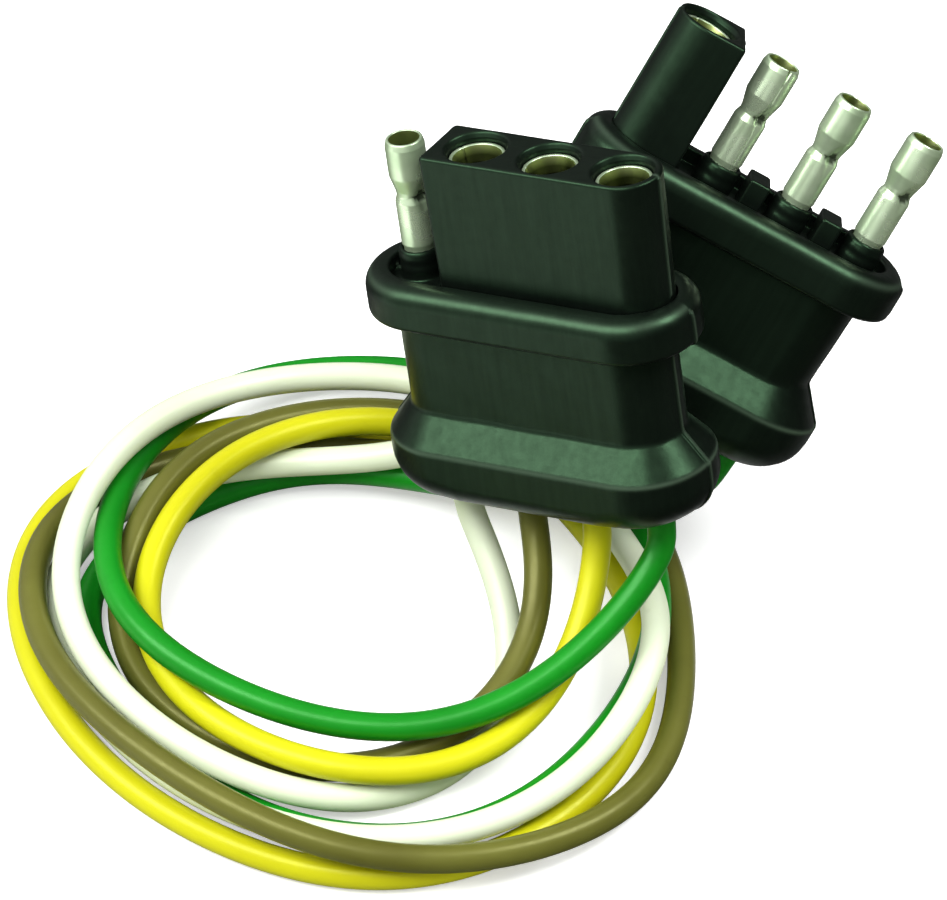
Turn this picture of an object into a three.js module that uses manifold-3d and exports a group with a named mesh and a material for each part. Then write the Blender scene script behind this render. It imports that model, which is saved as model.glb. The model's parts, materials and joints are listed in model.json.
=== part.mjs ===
// Four-way flat trailer wiring connector pair, joined by a coiled four-wire
// harness. Two moulded rubber housings hold bullet pins and receptacles; each
// of the four wires runs from a crimp in one housing, round the coil, to the
// matching crimp in the other housing.
//
// Millimetres, +Z up. The coil lies on the plane Z = 0, and the origin is the
// bottom centre of the whole object's box.
import * as THREE from 'three';
import { mergeVertices } from 'three/addons/utils/BufferGeometryUtils.js';
import Module from 'manifold-3d';

// ---------------------------------------------------------------- dimensions
// Connector frame: x along the contact row, y across the flat thickness,
// z along the contacts. The rim's crest stands a little above z = 0.
const rowOf = (pitch) => [-1.5, -0.5, 0.5, 1.5].map((step) => step * pitch);
const PITCH = 9.5;               // contact to contact
const ROW = rowOf(PITCH);
const GAP = 0.3;                 // clearance between neighbouring pieces
const OVERRUN = 1;               // how far a cutter passes the face it opens

const RIM_HALF_W = 20.8;         // upper flange, half length
const RIM_HALF_D = 7.9;          // upper flange, half thickness
const RIM_TOP = 0.7;
const RIM_BOTTOM = -4.8;
const RIM_ROUND = 1.5;           // rounding of the rim's edges
const DECK_Z = -1.0;             // floor inside the rim
const DECK_INSET = 3.0;
const DECK_CUT_TOP = 2;

const GRIP_HALF_W = 17.4;        // between the two flanges
const GRIP_HALF_D = 5.4;
const GRIP_OVERLAP = 1.5;        // how far the grip runs into each flange

const BASE_HALF_W = 20.4;        // lower flange
const BASE_HALF_D = 8.4;
const BASE_TOP = -16.4;          // where its sloping shoulder meets the grip
const BASE_SHOULDER = -20.1;
const BASE_BOTTOM = -27.0;
const BASE_ROUND = 2.4;
const BASE_OVERRUN = 8;          // extra height of the two slabs that intersect as the base

const BLOCK_T = 8.5;             // thickness of the socket block and tower
const BLOCK_TOP = 16.5;
const BLOCK_LEFT = -9.5;         // flat end of the three-socket block
const BLOCK_FOOT = -3.6;         // bottom of the socket block and tower

const SOCKET_BORE_R = 3.5;
const SOCKET_BORE_BOTTOM = -0.4;
const STEM_BORE_R = 2.1;         // through the housing below the deck
const COLLAR_R = 2.6;            // raised ring round the foot of a pin
const COLLAR_TOP = 2.9;
const COLLAR_SINK = 0.6;         // how far it starts below the deck
const RIB = { width: 2.6, depth: 4.4, height: 3.4 };   // between the rear collars

const INSERT_HALF_W = 16.0;      // bar of the contact block, which holds the four contacts
const INSERT_HALF_D = 3.5;
const INSERT_TOP = -2.6;
const INSERT_BOTTOM = -10.6;

const PIN_TIP = 16.25;
const PIN_R = 2.3;               // 4.6 mm bullet
const SOCKET_MOUTH = 15.3;
const STEM_R = 1.8;
const STEM_BOTTOM = -10.0;
const CRIMP_R = 1.45;
const CRIMP_BORE_R = 0.95;
const CRIMP_TOP = -10.8;
const CRIMP_BOTTOM = -13.6;

const WIRE_R = 1.65;             // insulation
const JACKET_BORE_R = 0.9;
const CORE_R = 0.6;              // stranded conductor
const WIRE_ROW = rowOf(8.6);     // wires leave a little closer than the contacts
const FLEX_DROP = 3.4;           // flex axis below the housing's bottom face
const FLEX_Z = BASE_BOTTOM - FLEX_DROP;
const JACKET_TOP = -15.0;
const CORE_TOP = -10.4;
const CORE_TAIL = 1.2;           // lead core past the flex axis
const LEAD_ROUND_ANGLE = 0.5;    // radians, middle point of the lead's rounded end
const COIL_TRIM = WIRE_R + 0.4;  // left off each end of a coil wire's centre line

const OFFSET = [-14.09, 1.099, -0.011];   // moves the coil's centre so the box is centred

// Facets
const END_STEPS = 8;             // along a half-round end
const INSERT_END_STEPS = 5;
const ROUNDING_STEPS = 3;        // across a rounded edge
const BORE_SIDES = 12;
const SOCKET_BORE_SIDES = 14;
const CONTACT_SIDES = 12;
const LEAD_SIDES = 10;
const LEAD_CORE_SIDES = 6;
const COIL_SIDES = 8;
const COIL_CORE_SIDES = 4;       // the coil's conductor and the bore round it
const COIL_STEPS = 62;
const COIL_LENGTH_DIVISIONS = 1600;

// ---------------------------------------------------------------- materials
const rubber = new THREE.MeshStandardMaterial({
  color: 0x14181a, roughness: 0.55, metalness: 0.0,
});
const blockRubber = new THREE.MeshStandardMaterial({
  color: 0x171c1d, roughness: 0.5, metalness: 0.0,
});
const tinned = new THREE.MeshStandardMaterial({ color: 0xc9cdbf, roughness: 0.28, metalness: 1.0 });
const copper = new THREE.MeshStandardMaterial({ color: 0xb87345, roughness: 0.4, metalness: 1.0 });
// In the order of the contact row.
const JACKET_COLOURS = { white: 0xeff3e8, brown: 0x6e6638, yellow: 0xe8de24, green: 0x23a83f };
const COLOURS = Object.keys(JACKET_COLOURS);
const jacketMaterial = (name) => new THREE.MeshStandardMaterial({
  color: JACKET_COLOURS[name], roughness: 0.38, metalness: 0.0,
});

// ---------------------------------------------------------------- solids
const wasm = await Module();
wasm.setup();

// Welds a geometry down to bare positions and turns its faces outward.
function outward(geometry) {
  const bare = geometry.clone();
  for (const name of Object.keys(bare.attributes)) {
    if (name !== 'position') bare.deleteAttribute(name);
  }
  const welded = mergeVertices(bare, 1e-4);
  const corners = Array.from(welded.index.array);
  const [first, second, third] = [0, 1, 2].map(() => new THREE.Vector3());
  let signedVolume = 0;
  for (let i = 0; i < corners.length; i += 3) {
    first.fromBufferAttribute(welded.attributes.position, corners[i]);
    second.fromBufferAttribute(welded.attributes.position, corners[i + 1]);
    third.fromBufferAttribute(welded.attributes.position, corners[i + 2]);
    signedVolume += first.dot(second.cross(third));
  }
  if (signedVolume < 0) {
    for (let i = 0; i < corners.length; i += 3) {
      [corners[i + 1], corners[i + 2]] = [corners[i + 2], corners[i + 1]];
    }
    welded.setIndex(corners);
  }
  return welded;
}
function solid(geometry) {
  const closed = outward(geometry);
  return new wasm.Manifold(new wasm.Mesh({
    numProp: 3,
    vertProperties: new Float32Array(closed.attributes.position.array),
    triVerts: new Uint32Array(closed.index.array),
  }));
}
function toGeometry(manifold) {
  const { vertProperties, triVerts } = manifold.getMesh();
  const geometry = new THREE.BufferGeometry();
  geometry.setAttribute('position', new THREE.BufferAttribute(new Float32Array(vertProperties), 3));
  geometry.setIndex(Array.from(triVerts));
  return geometry;
}

// ---------------------------------------------------------------- outlines
// Half circle centred on the x axis, bulging to +x or, if side is -1, to -x.
function halfRound(centreX, radius, side, steps = END_STEPS) {
  return Array.from({ length: steps + 1 }, (_, i) => {
    const angle = -side * Math.PI / 2 + (Math.PI * i) / steps;
    return new THREE.Vector2(centreX + radius * Math.cos(angle), radius * Math.sin(angle));
  });
}
// Two straight sides and two round ends.
function stadium(halfW, halfD, steps) {
  const centreX = halfW - halfD;
  return new THREE.Shape([
    ...halfRound(centreX, halfD, 1, steps),
    ...halfRound(-centreX, halfD, -1, steps),
  ]);
}
// Block of three sockets: square at one end, round at the other.
function blockOutline(grow = 0) {
  const halfT = BLOCK_T / 2 + grow;
  return new THREE.Shape([
    new THREE.Vector2(BLOCK_LEFT - grow, halfT),
    new THREE.Vector2(BLOCK_LEFT - grow, -halfT),
    ...halfRound(ROW[3], halfT, 1),
  ]);
}
// Single-socket tower: round on the outside, flat towards the pins.
function towerOutline(grow = 0) {
  const halfT = BLOCK_T / 2 + grow;
  return new THREE.Shape([
    ...halfRound(ROW[0], halfT, -1),
    new THREE.Vector2(ROW[0] + halfT, -halfT),
    new THREE.Vector2(ROW[0] + halfT, halfT),
  ]);
}
function ring(radius, sides, phase = 0) {
  return Array.from({ length: sides }, (_, i) => {
    const angle = phase + (2 * Math.PI * i) / sides;
    return new THREE.Vector2(radius * Math.cos(angle), radius * Math.sin(angle));
  });
}

// ---------------------------------------------------------------- basic forms
// Extrudes between two heights; an inset rounds or chamfers both ends inward.
function slab(shape, bottom, top, { inset = 0, insetHeight = inset, segments = 1 } = {}) {
  const geometry = new THREE.ExtrudeGeometry(shape, {
    depth: top - bottom - 2 * insetHeight,
    bevelEnabled: inset > 0,
    bevelThickness: insetHeight,
    bevelSize: inset,
    bevelOffset: -inset,
    bevelSegments: segments,
  });
  geometry.translate(0, 0, bottom + insetHeight);
  return solid(geometry);
}
// Upright cylinder between two heights.
function cylinder(radius, bottom, top, sides) {
  const geometry = new THREE.CylinderGeometry(radius, radius, top - bottom, sides);
  geometry.rotateX(Math.PI / 2);
  geometry.translate(0, 0, (bottom + top) / 2);
  return geometry;
}
function rod(radius, bottom, top, x, sides = BORE_SIDES) {
  return solid(cylinder(radius, bottom, top, sides).translate(x, 0, 0));
}
// Piece turned about z from a closed profile of [radius, height].
function turned(profile, sides) {
  const points = [...profile, profile[0]].map(([radius, z]) => new THREE.Vector2(radius, z));
  const geometry = new THREE.LatheGeometry(points, sides);
  geometry.rotateX(Math.PI / 2);
  return outward(geometry);
}

// ---------------------------------------------------------------- housings
// Place of a wire along the row: it drifts from the contact pitch to its own.
const wireX = (i, z) =>
  ROW[i] + (WIRE_ROW[i] - ROW[i]) * (z - INSERT_BOTTOM) / (FLEX_Z - INSERT_BOTTOM);

// Slanting hole for one wire, from inside the contact block's seat to below the base.
function wireChannel(i) {
  const startZ = INSERT_BOTTOM + OVERRUN;
  const endZ = BASE_BOTTOM - OVERRUN;
  const start = new THREE.Vector3(wireX(i, startZ), 0, startZ);
  const end = new THREE.Vector3(wireX(i, endZ), 0, endZ);
  const length = start.distanceTo(end);
  const direction = end.clone().sub(start).divideScalar(length);
  const radius = WIRE_R + GAP;
  const geometry = new THREE.CylinderGeometry(radius, radius, length, BORE_SIDES);
  geometry.applyQuaternion(
    new THREE.Quaternion().setFromUnitVectors(new THREE.Vector3(0, 1, 0), direction));
  geometry.translate((start.x + end.x) / 2, 0, (startZ + endZ) / 2);
  return solid(geometry);
}
// Outer body shared by both housings: rim flange, grip, and base flange with
// a sloping shoulder.
function housingBody() {
  const rim = slab(stadium(RIM_HALF_W, RIM_HALF_D), RIM_BOTTOM, RIM_TOP,
    { inset: RIM_ROUND, segments: ROUNDING_STEPS });
  const deckCut = slab(stadium(RIM_HALF_W - DECK_INSET, RIM_HALF_D - DECK_INSET),
    DECK_Z, DECK_CUT_TOP);
  const grip = slab(stadium(GRIP_HALF_W, GRIP_HALF_D),
    BASE_TOP - GRIP_OVERLAP, RIM_BOTTOM + GRIP_OVERLAP);
  const baseOutline = stadium(BASE_HALF_W, BASE_HALF_D);
  const shoulder = slab(baseOutline, BASE_BOTTOM - BASE_OVERRUN, BASE_TOP,
    { inset: BASE_HALF_D - GRIP_HALF_D, insetHeight: BASE_TOP - BASE_SHOULDER });
  const foot = slab(baseOutline, BASE_BOTTOM, BASE_TOP + BASE_OVERRUN,
    { inset: BASE_ROUND, segments: ROUNDING_STEPS });
  return rim.subtract(deckCut).add(grip).add(shoulder.intersect(foot));
}
function rib(x) {
  const geometry = new THREE.BoxGeometry(RIB.width, RIB.depth, RIB.height);
  geometry.translate(x, 0, DECK_Z + RIB.height / 2);
  return solid(geometry);
}
// Outer cover: the body with the collars and ribs, hollowed for the contact
// block and the wires.
function housing({ pins, ribs, outline }) {
  let body = housingBody();
  for (const i of pins) body = body.add(rod(COLLAR_R, DECK_Z - COLLAR_SINK, COLLAR_TOP, ROW[i]));
  for (const x of ribs) body = body.add(rib(x));
  // opening for the socket block or tower, and the seat of its bar
  body = body.subtract(slab(outline(GAP), BLOCK_FOOT - GAP, BLOCK_TOP));
  body = body.subtract(slab(stadium(INSERT_HALF_W + GAP, INSERT_HALF_D + GAP, INSERT_END_STEPS),
    INSERT_BOTTOM - GAP, INSERT_TOP + GAP));
  for (const i of pins) {
    body = body.subtract(rod(STEM_BORE_R, INSERT_BOTTOM, BLOCK_TOP + OVERRUN, ROW[i]));
  }
  for (const i of ROW.keys()) body = body.subtract(wireChannel(i));
  return toGeometry(body);
}
// Inner moulding that carries the four contacts: a bar inside the cover, and
// the socket block or tower that rises from it.
function contactBlock({ sockets, outline }) {
  const top = BLOCK_TOP + OVERRUN;
  let block = slab(stadium(INSERT_HALF_W, INSERT_HALF_D, INSERT_END_STEPS),
    INSERT_BOTTOM, INSERT_TOP);
  block = block.add(slab(outline(), BLOCK_FOOT, BLOCK_TOP));
  for (const i of sockets) {
    block = block.subtract(
      rod(SOCKET_BORE_R, SOCKET_BORE_BOTTOM, top, ROW[i], SOCKET_BORE_SIDES));
  }
  for (const x of ROW) block = block.subtract(rod(STEM_BORE_R, INSERT_BOTTOM - OVERRUN, top, x));
  return toGeometry(block);
}

// ---------------------------------------------------------------- contacts
// Profiles are [radius, height]: down the outside, then up the bore.
const CRIMP_PROFILE = [
  [STEM_R, STEM_BOTTOM], [CRIMP_R, CRIMP_TOP], [CRIMP_R, CRIMP_BOTTOM],
  [CRIMP_BORE_R, CRIMP_BOTTOM],
];
// Hollow bullet with a necked waist, straight stem and crimp barrel.
const PIN_PROFILE = [
  [1.7, PIN_TIP], [2.05, PIN_TIP], [PIN_R, PIN_TIP - 0.6], [PIN_R, 11.4], [1.7, 9.4],
  [2.0, 8.4], [2.0, 3.3], [STEM_R, 2.8],
  ...CRIMP_PROFILE,
  [CRIMP_BORE_R, 9.0], [1.5, 10.6],
];
// Receptacle with a flared mouth; it takes the bullet of the mating half.
const SOCKET_PROFILE = [
  [2.9, SOCKET_MOUTH], [3.2, SOCKET_MOUTH], [2.8, 13.6], [2.8, 0.9], [STEM_R, 0.0],
  ...CRIMP_PROFILE,
  [CRIMP_BORE_R, 0.6], [2.36, 1.7], [2.36, 13.4],
];

// ---------------------------------------------------------------- leads
// Moves a piece standing on z = 0 to wire i's flex axis, leaning towards its
// place at height topZ. build makes the piece from its length.
function lead(i, topZ, build) {
  const dx = wireX(i, topZ) - WIRE_ROW[i];
  const dz = topZ - FLEX_Z;
  const length = Math.hypot(dx, dz);
  const geometry = build(length);
  geometry.applyQuaternion(new THREE.Quaternion().setFromUnitVectors(
    new THREE.Vector3(0, 0, 1), new THREE.Vector3(dx / length, 0, dz / length)));
  geometry.translate(WIRE_ROW[i], 0, FLEX_Z);
  return outward(geometry);
}
// Short length of wire fixed in a housing; its end is rounded about the flex
// axis, so that the coil's end can turn round it.
const leadJacket = (i) => lead(i, JACKET_TOP, (length) => turned([
  [JACKET_BORE_R, length],
  [WIRE_R, length],
  [WIRE_R, 0],
  [WIRE_R * Math.cos(LEAD_ROUND_ANGLE), -WIRE_R * Math.sin(LEAD_ROUND_ANGLE)],
  [JACKET_BORE_R, -Math.sqrt(WIRE_R ** 2 - JACKET_BORE_R ** 2)],
], LEAD_SIDES));
const leadCore = (i) => lead(i, CORE_TOP,
  (length) => cylinder(CORE_R, -CORE_TAIL, length, LEAD_CORE_SIDES));

// ---------------------------------------------------------------- coil
// Centre lines of the four wires as [x, y, z] in the coil's frame, from the
// front flex axis to the rear one.
const WIRES = {
  white: [
    [13.65, 5.07, 15.92], [14.11, 4.19, 14.2], [14.81, 2.92, 12.82], [15.74, 1.14, 11.34],
    [16.76, -1.18, 9.73], [17.71, -4.08, 8.02], [18.5, -9.35, 5.44], [17.85, -14.86, 3.41],
    [15.48, -20.12, 2.13], [11.53, -24.49, 1.65], [6.52, -27.63, 1.85], [0.91, -29.36, 2.56],
    [-4.91, -29.56, 3.61], [-10.61, -28.3, 4.64], [-15.93, -25.82, 5.35], [-20.73, -22.36, 5.73],
    [-24.92, -18.17, 5.95], [-28.42, -13.39, 6.21], [-31.07, -8.11, 6.68], [-32.55, -2.44, 7.5],
    [-32.56, 3.36, 8.68], [-31.15, 8.98, 9.9], [-28.61, 14.27, 10.73], [-25.23, 19.14, 10.84],
    [-21.25, 23.48, 10.22], [-16.76, 27.2, 9.12], [-11.77, 30.16, 7.92], [-6.28, 32.17, 6.94],
    [-0.46, 33.07, 6.35], [5.46, 32.81, 6.11], [11.19, 31.34, 6.01], [16.44, 28.61, 5.83],
    [20.95, 24.78, 5.51], [24.66, 20.16, 5.25], [27.69, 15.07, 5.32], [30.23, 9.74, 5.9],
    [32.42, 4.32, 6.92], [34.21, -1.22, 8.07], [35.22, -7, 8.88], [34.89, -12.91, 8.98],
    [33.16, -18.54, 8.41], [30.34, -23.67, 7.5], [26.61, -28.16, 6.5], [22.08, -31.88, 5.63],
    [16.89, -34.66, 4.97], [11.23, -36.39, 4.57], [5.35, -37.06, 4.37], [-0.57, -36.69, 4.29],
    [-6.33, -35.3, 4.25], [-11.77, -32.96, 4.16], [-16.76, -29.76, 3.93], [-21.21, -25.86, 3.57],
    [-25.13, -21.42, 3.16], [-28.51, -16.57, 2.77], [-31.29, -11.34, 2.46], [-33.3, -5.76, 2.26],
    [-34.17, 0.09, 2.21], [-33.36, 5.94, 2.38], [-30.48, 11.05, 2.95], [-26.05, 14.85, 3.88],
    [-20.79, 17.42, 4.79], [-15.07, 18.89, 5.32], [-9.18, 19.47, 5.71], [-3.29, 19.32, 6.37],
    [2.45, 18.64, 7.69], [7.81, 17.73, 10.04], [12.45, 17.05, 13.64], [14.77, 16.91, 16.25],
    [16.53, 17, 18.68], [17.86, 17.27, 20.78], [18.87, 17.67, 22.46], [19.86, 18.32, 24.07],
  ],
  brown: [
    [21.03, 1.23, 18.11], [21.3, 0.26, 16.4], [21.55, -1.19, 15.05], [21.75, -3.23, 13.63],
    [21.72, -5.81, 12.1], [21.27, -8.89, 10.49], [19.3, -13.99, 8.13], [15.88, -18.47, 6.22],
    [11.3, -21.94, 4.68], [5.89, -24.13, 3.46], [0.04, -24.79, 2.6], [-5.84, -23.95, 2.09],
    [-11.41, -21.85, 1.82], [-16.5, -18.74, 1.68], [-20.89, -14.7, 1.67], [-24.22, -9.77, 1.95],
    [-26.09, -4.18, 2.75], [-26.32, 1.61, 4.14], [-25.08, 7.16, 5.9], [-22.57, 12.29, 7.61],
    [-18.91, 16.87, 8.67], [-14.42, 20.79, 8.66], [-9.46, 24.01, 7.85], [-4.19, 26.55, 6.68],
    [1.36, 28.28, 5.35], [7.12, 29.02, 3.98], [12.95, 28.69, 2.78], [18.7, 27.3, 2],
    [24.14, 24.87, 1.69], [28.96, 21.37, 1.65], [32.84, 16.85, 1.67], [35.57, 11.55, 1.66],
    [37.23, 5.82, 1.65], [38.09, -0.09, 1.65], [38.38, -6.05, 1.65], [38.18, -12.02, 1.66],
    [37.35, -17.93, 1.75], [35.6, -23.63, 2], [32.68, -28.8, 2.46], [28.61, -33.11, 3.06],
    [23.72, -36.46, 3.7], [18.29, -38.87, 4.32], [12.54, -40.34, 4.94], [6.63, -40.81, 5.57],
    [0.73, -40.22, 6.2], [-4.98, -38.6, 6.77], [-10.36, -36.05, 7.15], [-15.35, -32.76, 7.27],
    [-19.94, -28.95, 7.12], [-24.17, -24.75, 6.75], [-28.04, -20.23, 6.27], [-31.46, -15.36, 5.79],
    [-34.23, -10.09, 5.4], [-36.1, -4.43, 5.16], [-36.74, 1.49, 4.99], [-35.88, 7.38, 4.7],
    [-33.42, 12.77, 4.18], [-29.59, 17.28, 3.47], [-24.81, 20.77, 2.77], [-19.42, 23.27, 2.23],
    [-13.65, 24.77, 1.95], [-7.71, 25.21, 2.02], [-1.8, 24.58, 2.52], [3.89, 23.1, 3.56],
    [9.25, 21.09, 5.24], [14.26, 18.96, 7.7], [18.89, 17.07, 10.95], [21.42, 16.22, 13.21],
    [23.47, 15.71, 15.33], [25.09, 15.55, 17.23], [26.3, 15.7, 18.81], [27.36, 16.26, 20.41],
  ],
  yellow: [
    [28.4, -2.61, 20.31], [28.52, -3.48, 18.52], [28.41, -4.74, 16.97], [28.1, -6.51, 15.24],
    [27.51, -8.76, 13.35], [26.53, -11.48, 11.37], [24.09, -16.12, 8.58], [20.61, -20.51, 6.62],
    [16.1, -24.24, 5.6], [10.78, -26.85, 5.42], [4.98, -28.08, 5.72], [-0.94, -27.79, 6.08],
    [-6.63, -26.07, 6.16], [-11.76, -23.09, 5.9], [-16.17, -19.12, 5.46], [-19.72, -14.38, 5.06],
    [-22.24, -9, 4.98], [-23.38, -3.2, 5.48], [-22.92, 2.62, 6.56], [-20.91, 8.05, 7.89],
    [-17.64, 12.89, 8.98], [-13.44, 17.06, 9.46], [-8.6, 20.51, 9.23], [-3.36, 23.19, 8.42],
    [2.19, 24.95, 7.22], [7.94, 25.55, 5.81], [13.63, 24.68, 4.38], [18.86, 22.18, 3.14],
    [23.3, 18.33, 2.28], [26.92, 13.63, 1.82], [29.79, 8.43, 1.67], [31.98, 2.89, 1.65],
    [33.42, -2.88, 1.66], [33.98, -8.8, 1.65], [33.5, -14.73, 1.65], [31.87, -20.44, 1.65],
    [29.13, -25.71, 1.65], [25.42, -30.36, 1.65], [20.93, -34.26, 1.65], [15.83, -37.31, 1.65],
    [10.24, -39.32, 1.65], [4.35, -40.11, 1.65], [-1.58, -39.65, 1.66], [-7.32, -38.11, 1.69],
    [-12.76, -35.7, 1.72], [-17.84, -32.6, 1.72], [-22.51, -28.92, 1.7], [-26.72, -24.71, 1.68],
    [-30.39, -20.03, 1.66], [-33.46, -14.93, 1.65], [-35.88, -9.49, 1.65], [-37.55, -3.78, 1.65],
    [-38.28, 2.12, 1.65], [-37.81, 8.04, 1.65], [-35.92, 13.67, 1.65], [-32.64, 18.61, 1.65],
    [-28.25, 22.62, 1.65], [-23.14, 25.66, 1.66], [-17.58, 27.76, 1.68], [-11.75, 28.92, 1.71],
    [-5.8, 29.04, 1.71], [0.05, 27.98, 1.66], [5.57, 25.79, 1.7], [10.74, 22.89, 2.21],
    [15.7, 19.85, 3.46], [20.59, 17.17, 5.52], [25.41, 15.09, 8.31], [28.19, 14.2, 10.25],
    [30.51, 13.7, 12.08], [32.37, 13.52, 13.74], [33.74, 13.65, 15.19], [34.86, 14.2, 16.74],
  ],
  green: [
    [35.77, -6.45, 22.51], [35.63, -7.31, 20.73], [34.85, -8.49, 19.32], [33.56, -10.04, 17.86],
    [31.77, -11.9, 16.33], [29.47, -14, 14.73], [25.15, -17.27, 12.38], [20.31, -20.02, 10.43],
    [14.96, -22.02, 8.93], [9.23, -23.06, 7.99], [3.34, -23.09, 7.62], [-2.49, -22.2, 7.69],
    [-8.13, -20.49, 8.01], [-13.47, -17.99, 8.38], [-18.36, -14.7, 8.63], [-22.56, -10.56, 8.68],
    [-25.73, -5.59, 8.55], [-27.58, -0, 8.35], [-28.06, 5.87, 8.1], [-27.34, 11.71, 7.78],
    [-25.67, 17.35, 7.3], [-23.19, 22.66, 6.56], [-19.94, 27.49, 5.61], [-15.9, 31.66, 4.55],
    [-11.06, 34.89, 3.59], [-5.57, 36.93, 2.93], [0.27, 37.67, 2.69], [6.14, 37.14, 2.9],
    [11.76, 35.46, 3.45], [16.96, 32.76, 4.16], [21.62, 29.2, 4.81], [25.67, 24.92, 5.18],
    [29.09, 20.11, 5.17], [31.87, 14.91, 4.86], [33.97, 9.4, 4.55], [35.26, 3.64, 4.51],
    [35.62, -2.24, 4.79], [34.97, -8.09, 5.17], [33.32, -13.76, 5.29], [30.76, -19.06, 4.96],
    [27.37, -23.84, 4.25], [23.23, -27.95, 3.37], [18.37, -31.2, 2.56], [12.93, -33.4, 2.01],
    [7.13, -34.46, 1.74], [1.24, -34.37, 1.66], [-4.54, -33.19, 1.65], [-9.98, -30.9, 1.65],
    [-14.88, -27.61, 1.65], [-19.16, -23.55, 1.65], [-22.87, -18.96, 1.65], [-26.06, -13.99, 1.65],
    [-28.64, -8.67, 1.66], [-30.24, -3, 1.7], [-30.09, 2.87, 1.78], [-27.74, 8.25, 1.79],
    [-23.86, 12.69, 1.71], [-19.21, 16.32, 1.65], [-14.03, 19.14, 1.8], [-8.39, 20.78, 2.3],
    [-2.56, 20.84, 3.12], [3.11, 19.55, 4.14], [8.53, 17.51, 5.27], [13.86, 15.23, 6.44],
    [19.24, 13.09, 7.58], [24.8, 11.4, 8.63], [30.56, 10.42, 9.48], [34.03, 10.28, 9.91],
    [37, 10.47, 10.32], [39.4, 10.88, 10.86], [41.13, 11.42, 11.69], [42.37, 12.14, 13.07],
  ],
};

// Part of a curve between two fractions of its length.
class Stretch extends THREE.Curve {
  constructor(base, from, to) {
    super();
    this.base = base;
    this.from = from;
    this.to = to;
  }
  getPoint(t, target = new THREE.Vector3()) {
    return this.base.getPointAt(this.from + (this.to - this.from) * t, target);
  }
}
// Sweeps a cross-section along one wire's centre line, short of both flex axes.
function alongCoil(colour, shape) {
  const points = WIRES[colour].map((point) => new THREE.Vector3(...point));
  const base = new THREE.CatmullRomCurve3(points, false, 'centripetal');
  base.arcLengthDivisions = COIL_LENGTH_DIVISIONS;
  const trim = COIL_TRIM / base.getLength();
  const path = new Stretch(base, trim, 1 - trim);
  path.arcLengthDivisions = COIL_LENGTH_DIVISIONS;
  return outward(new THREE.ExtrudeGeometry(shape, {
    steps: COIL_STEPS, extrudePath: path, bevelEnabled: false,
  }));
}
function coilJacket(colour) {
  const shape = new THREE.Shape(ring(WIRE_R, COIL_SIDES));
  const bore = ring(JACKET_BORE_R, COIL_CORE_SIDES, Math.PI / 4).reverse();
  shape.holes.push(new THREE.Path(bore));
  return alongCoil(colour, shape);
}
const coilCore = (colour) => alongCoil(colour, new THREE.Shape(ring(CORE_R, COIL_CORE_SIDES)));

// ---------------------------------------------------------------- assembly
// pins and sockets index the contact row; ribs are places along it; outline
// is that of the socket block or tower.
const CONNECTORS = {
  front: {
    pins: [0],
    sockets: [1, 2, 3],
    ribs: [],
    outline: blockOutline,
    position: [20.811, 8.260, 47.967],
    quaternion: [-0.128286, -0.100472, -0.247288, 0.955142],
  },
  rear: {
    pins: [1, 2, 3],
    sockets: [0],
    ribs: [0, PITCH],
    outline: towerOutline,
    position: [45.933, 26.666, 42.484],
    quaternion: [-0.217991, 0.242471, -0.070831, 0.942693],
  },
};

function addMesh(parent, name, geometry, material) {
  geometry.computeVertexNormals();
  const mesh = new THREE.Mesh(geometry, material);
  mesh.name = name;
  parent.add(mesh);
  return mesh;
}
function connector(kind, design) {
  const group = new THREE.Group();
  group.position.set(...design.position);
  group.quaternion.set(...design.quaternion);
  addMesh(group, `${kind}_housing`, housing(design), rubber);
  addMesh(group, `${kind}_contact_block`, contactBlock(design), blockRubber);
  COLOURS.forEach((colour, i) => {
    const name = `${kind}_${colour}`;
    const [type, profile] = design.pins.includes(i)
      ? ['pin', PIN_PROFILE]
      : ['socket', SOCKET_PROFILE];
    const contact = addMesh(group, `${name}_${type}`, turned(profile, CONTACT_SIDES), tinned);
    contact.position.x = ROW[i];
    addMesh(group, `${name}_lead`, leadJacket(i), jacketMaterial(colour));
    addMesh(group, `${name}_core`, leadCore(i), copper);
  });
  return group;
}

const object = new THREE.Group();
object.position.set(...OFFSET);
for (const [kind, design] of Object.entries(CONNECTORS)) object.add(connector(kind, design));
for (const colour of COLOURS) {
  addMesh(object, `coil_${colour}_jacket`, coilJacket(colour), jacketMaterial(colour));
  addMesh(object, `coil_${colour}_core`, coilCore(colour), copper);
}

export default object;
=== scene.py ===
"""Two moulded four-way connectors, front and rear, joined by a loose coil of four wires.

The model frame is in metres with +Z up, the coil lying on the floor and the camera above
the -Y side. Each connector has its own frame in mm: x along the contact row, y across the
flat thickness, z along the contacts towards the mouth, z = 0 near the crest of the rim.
The wires leave at -z. The front connector has a pin in way 0 and sockets in ways 1 to 3;
the rear one is its mate.
"""
import bpy
import json
import math
import numpy as np
from mathutils import Matrix, Vector


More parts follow.
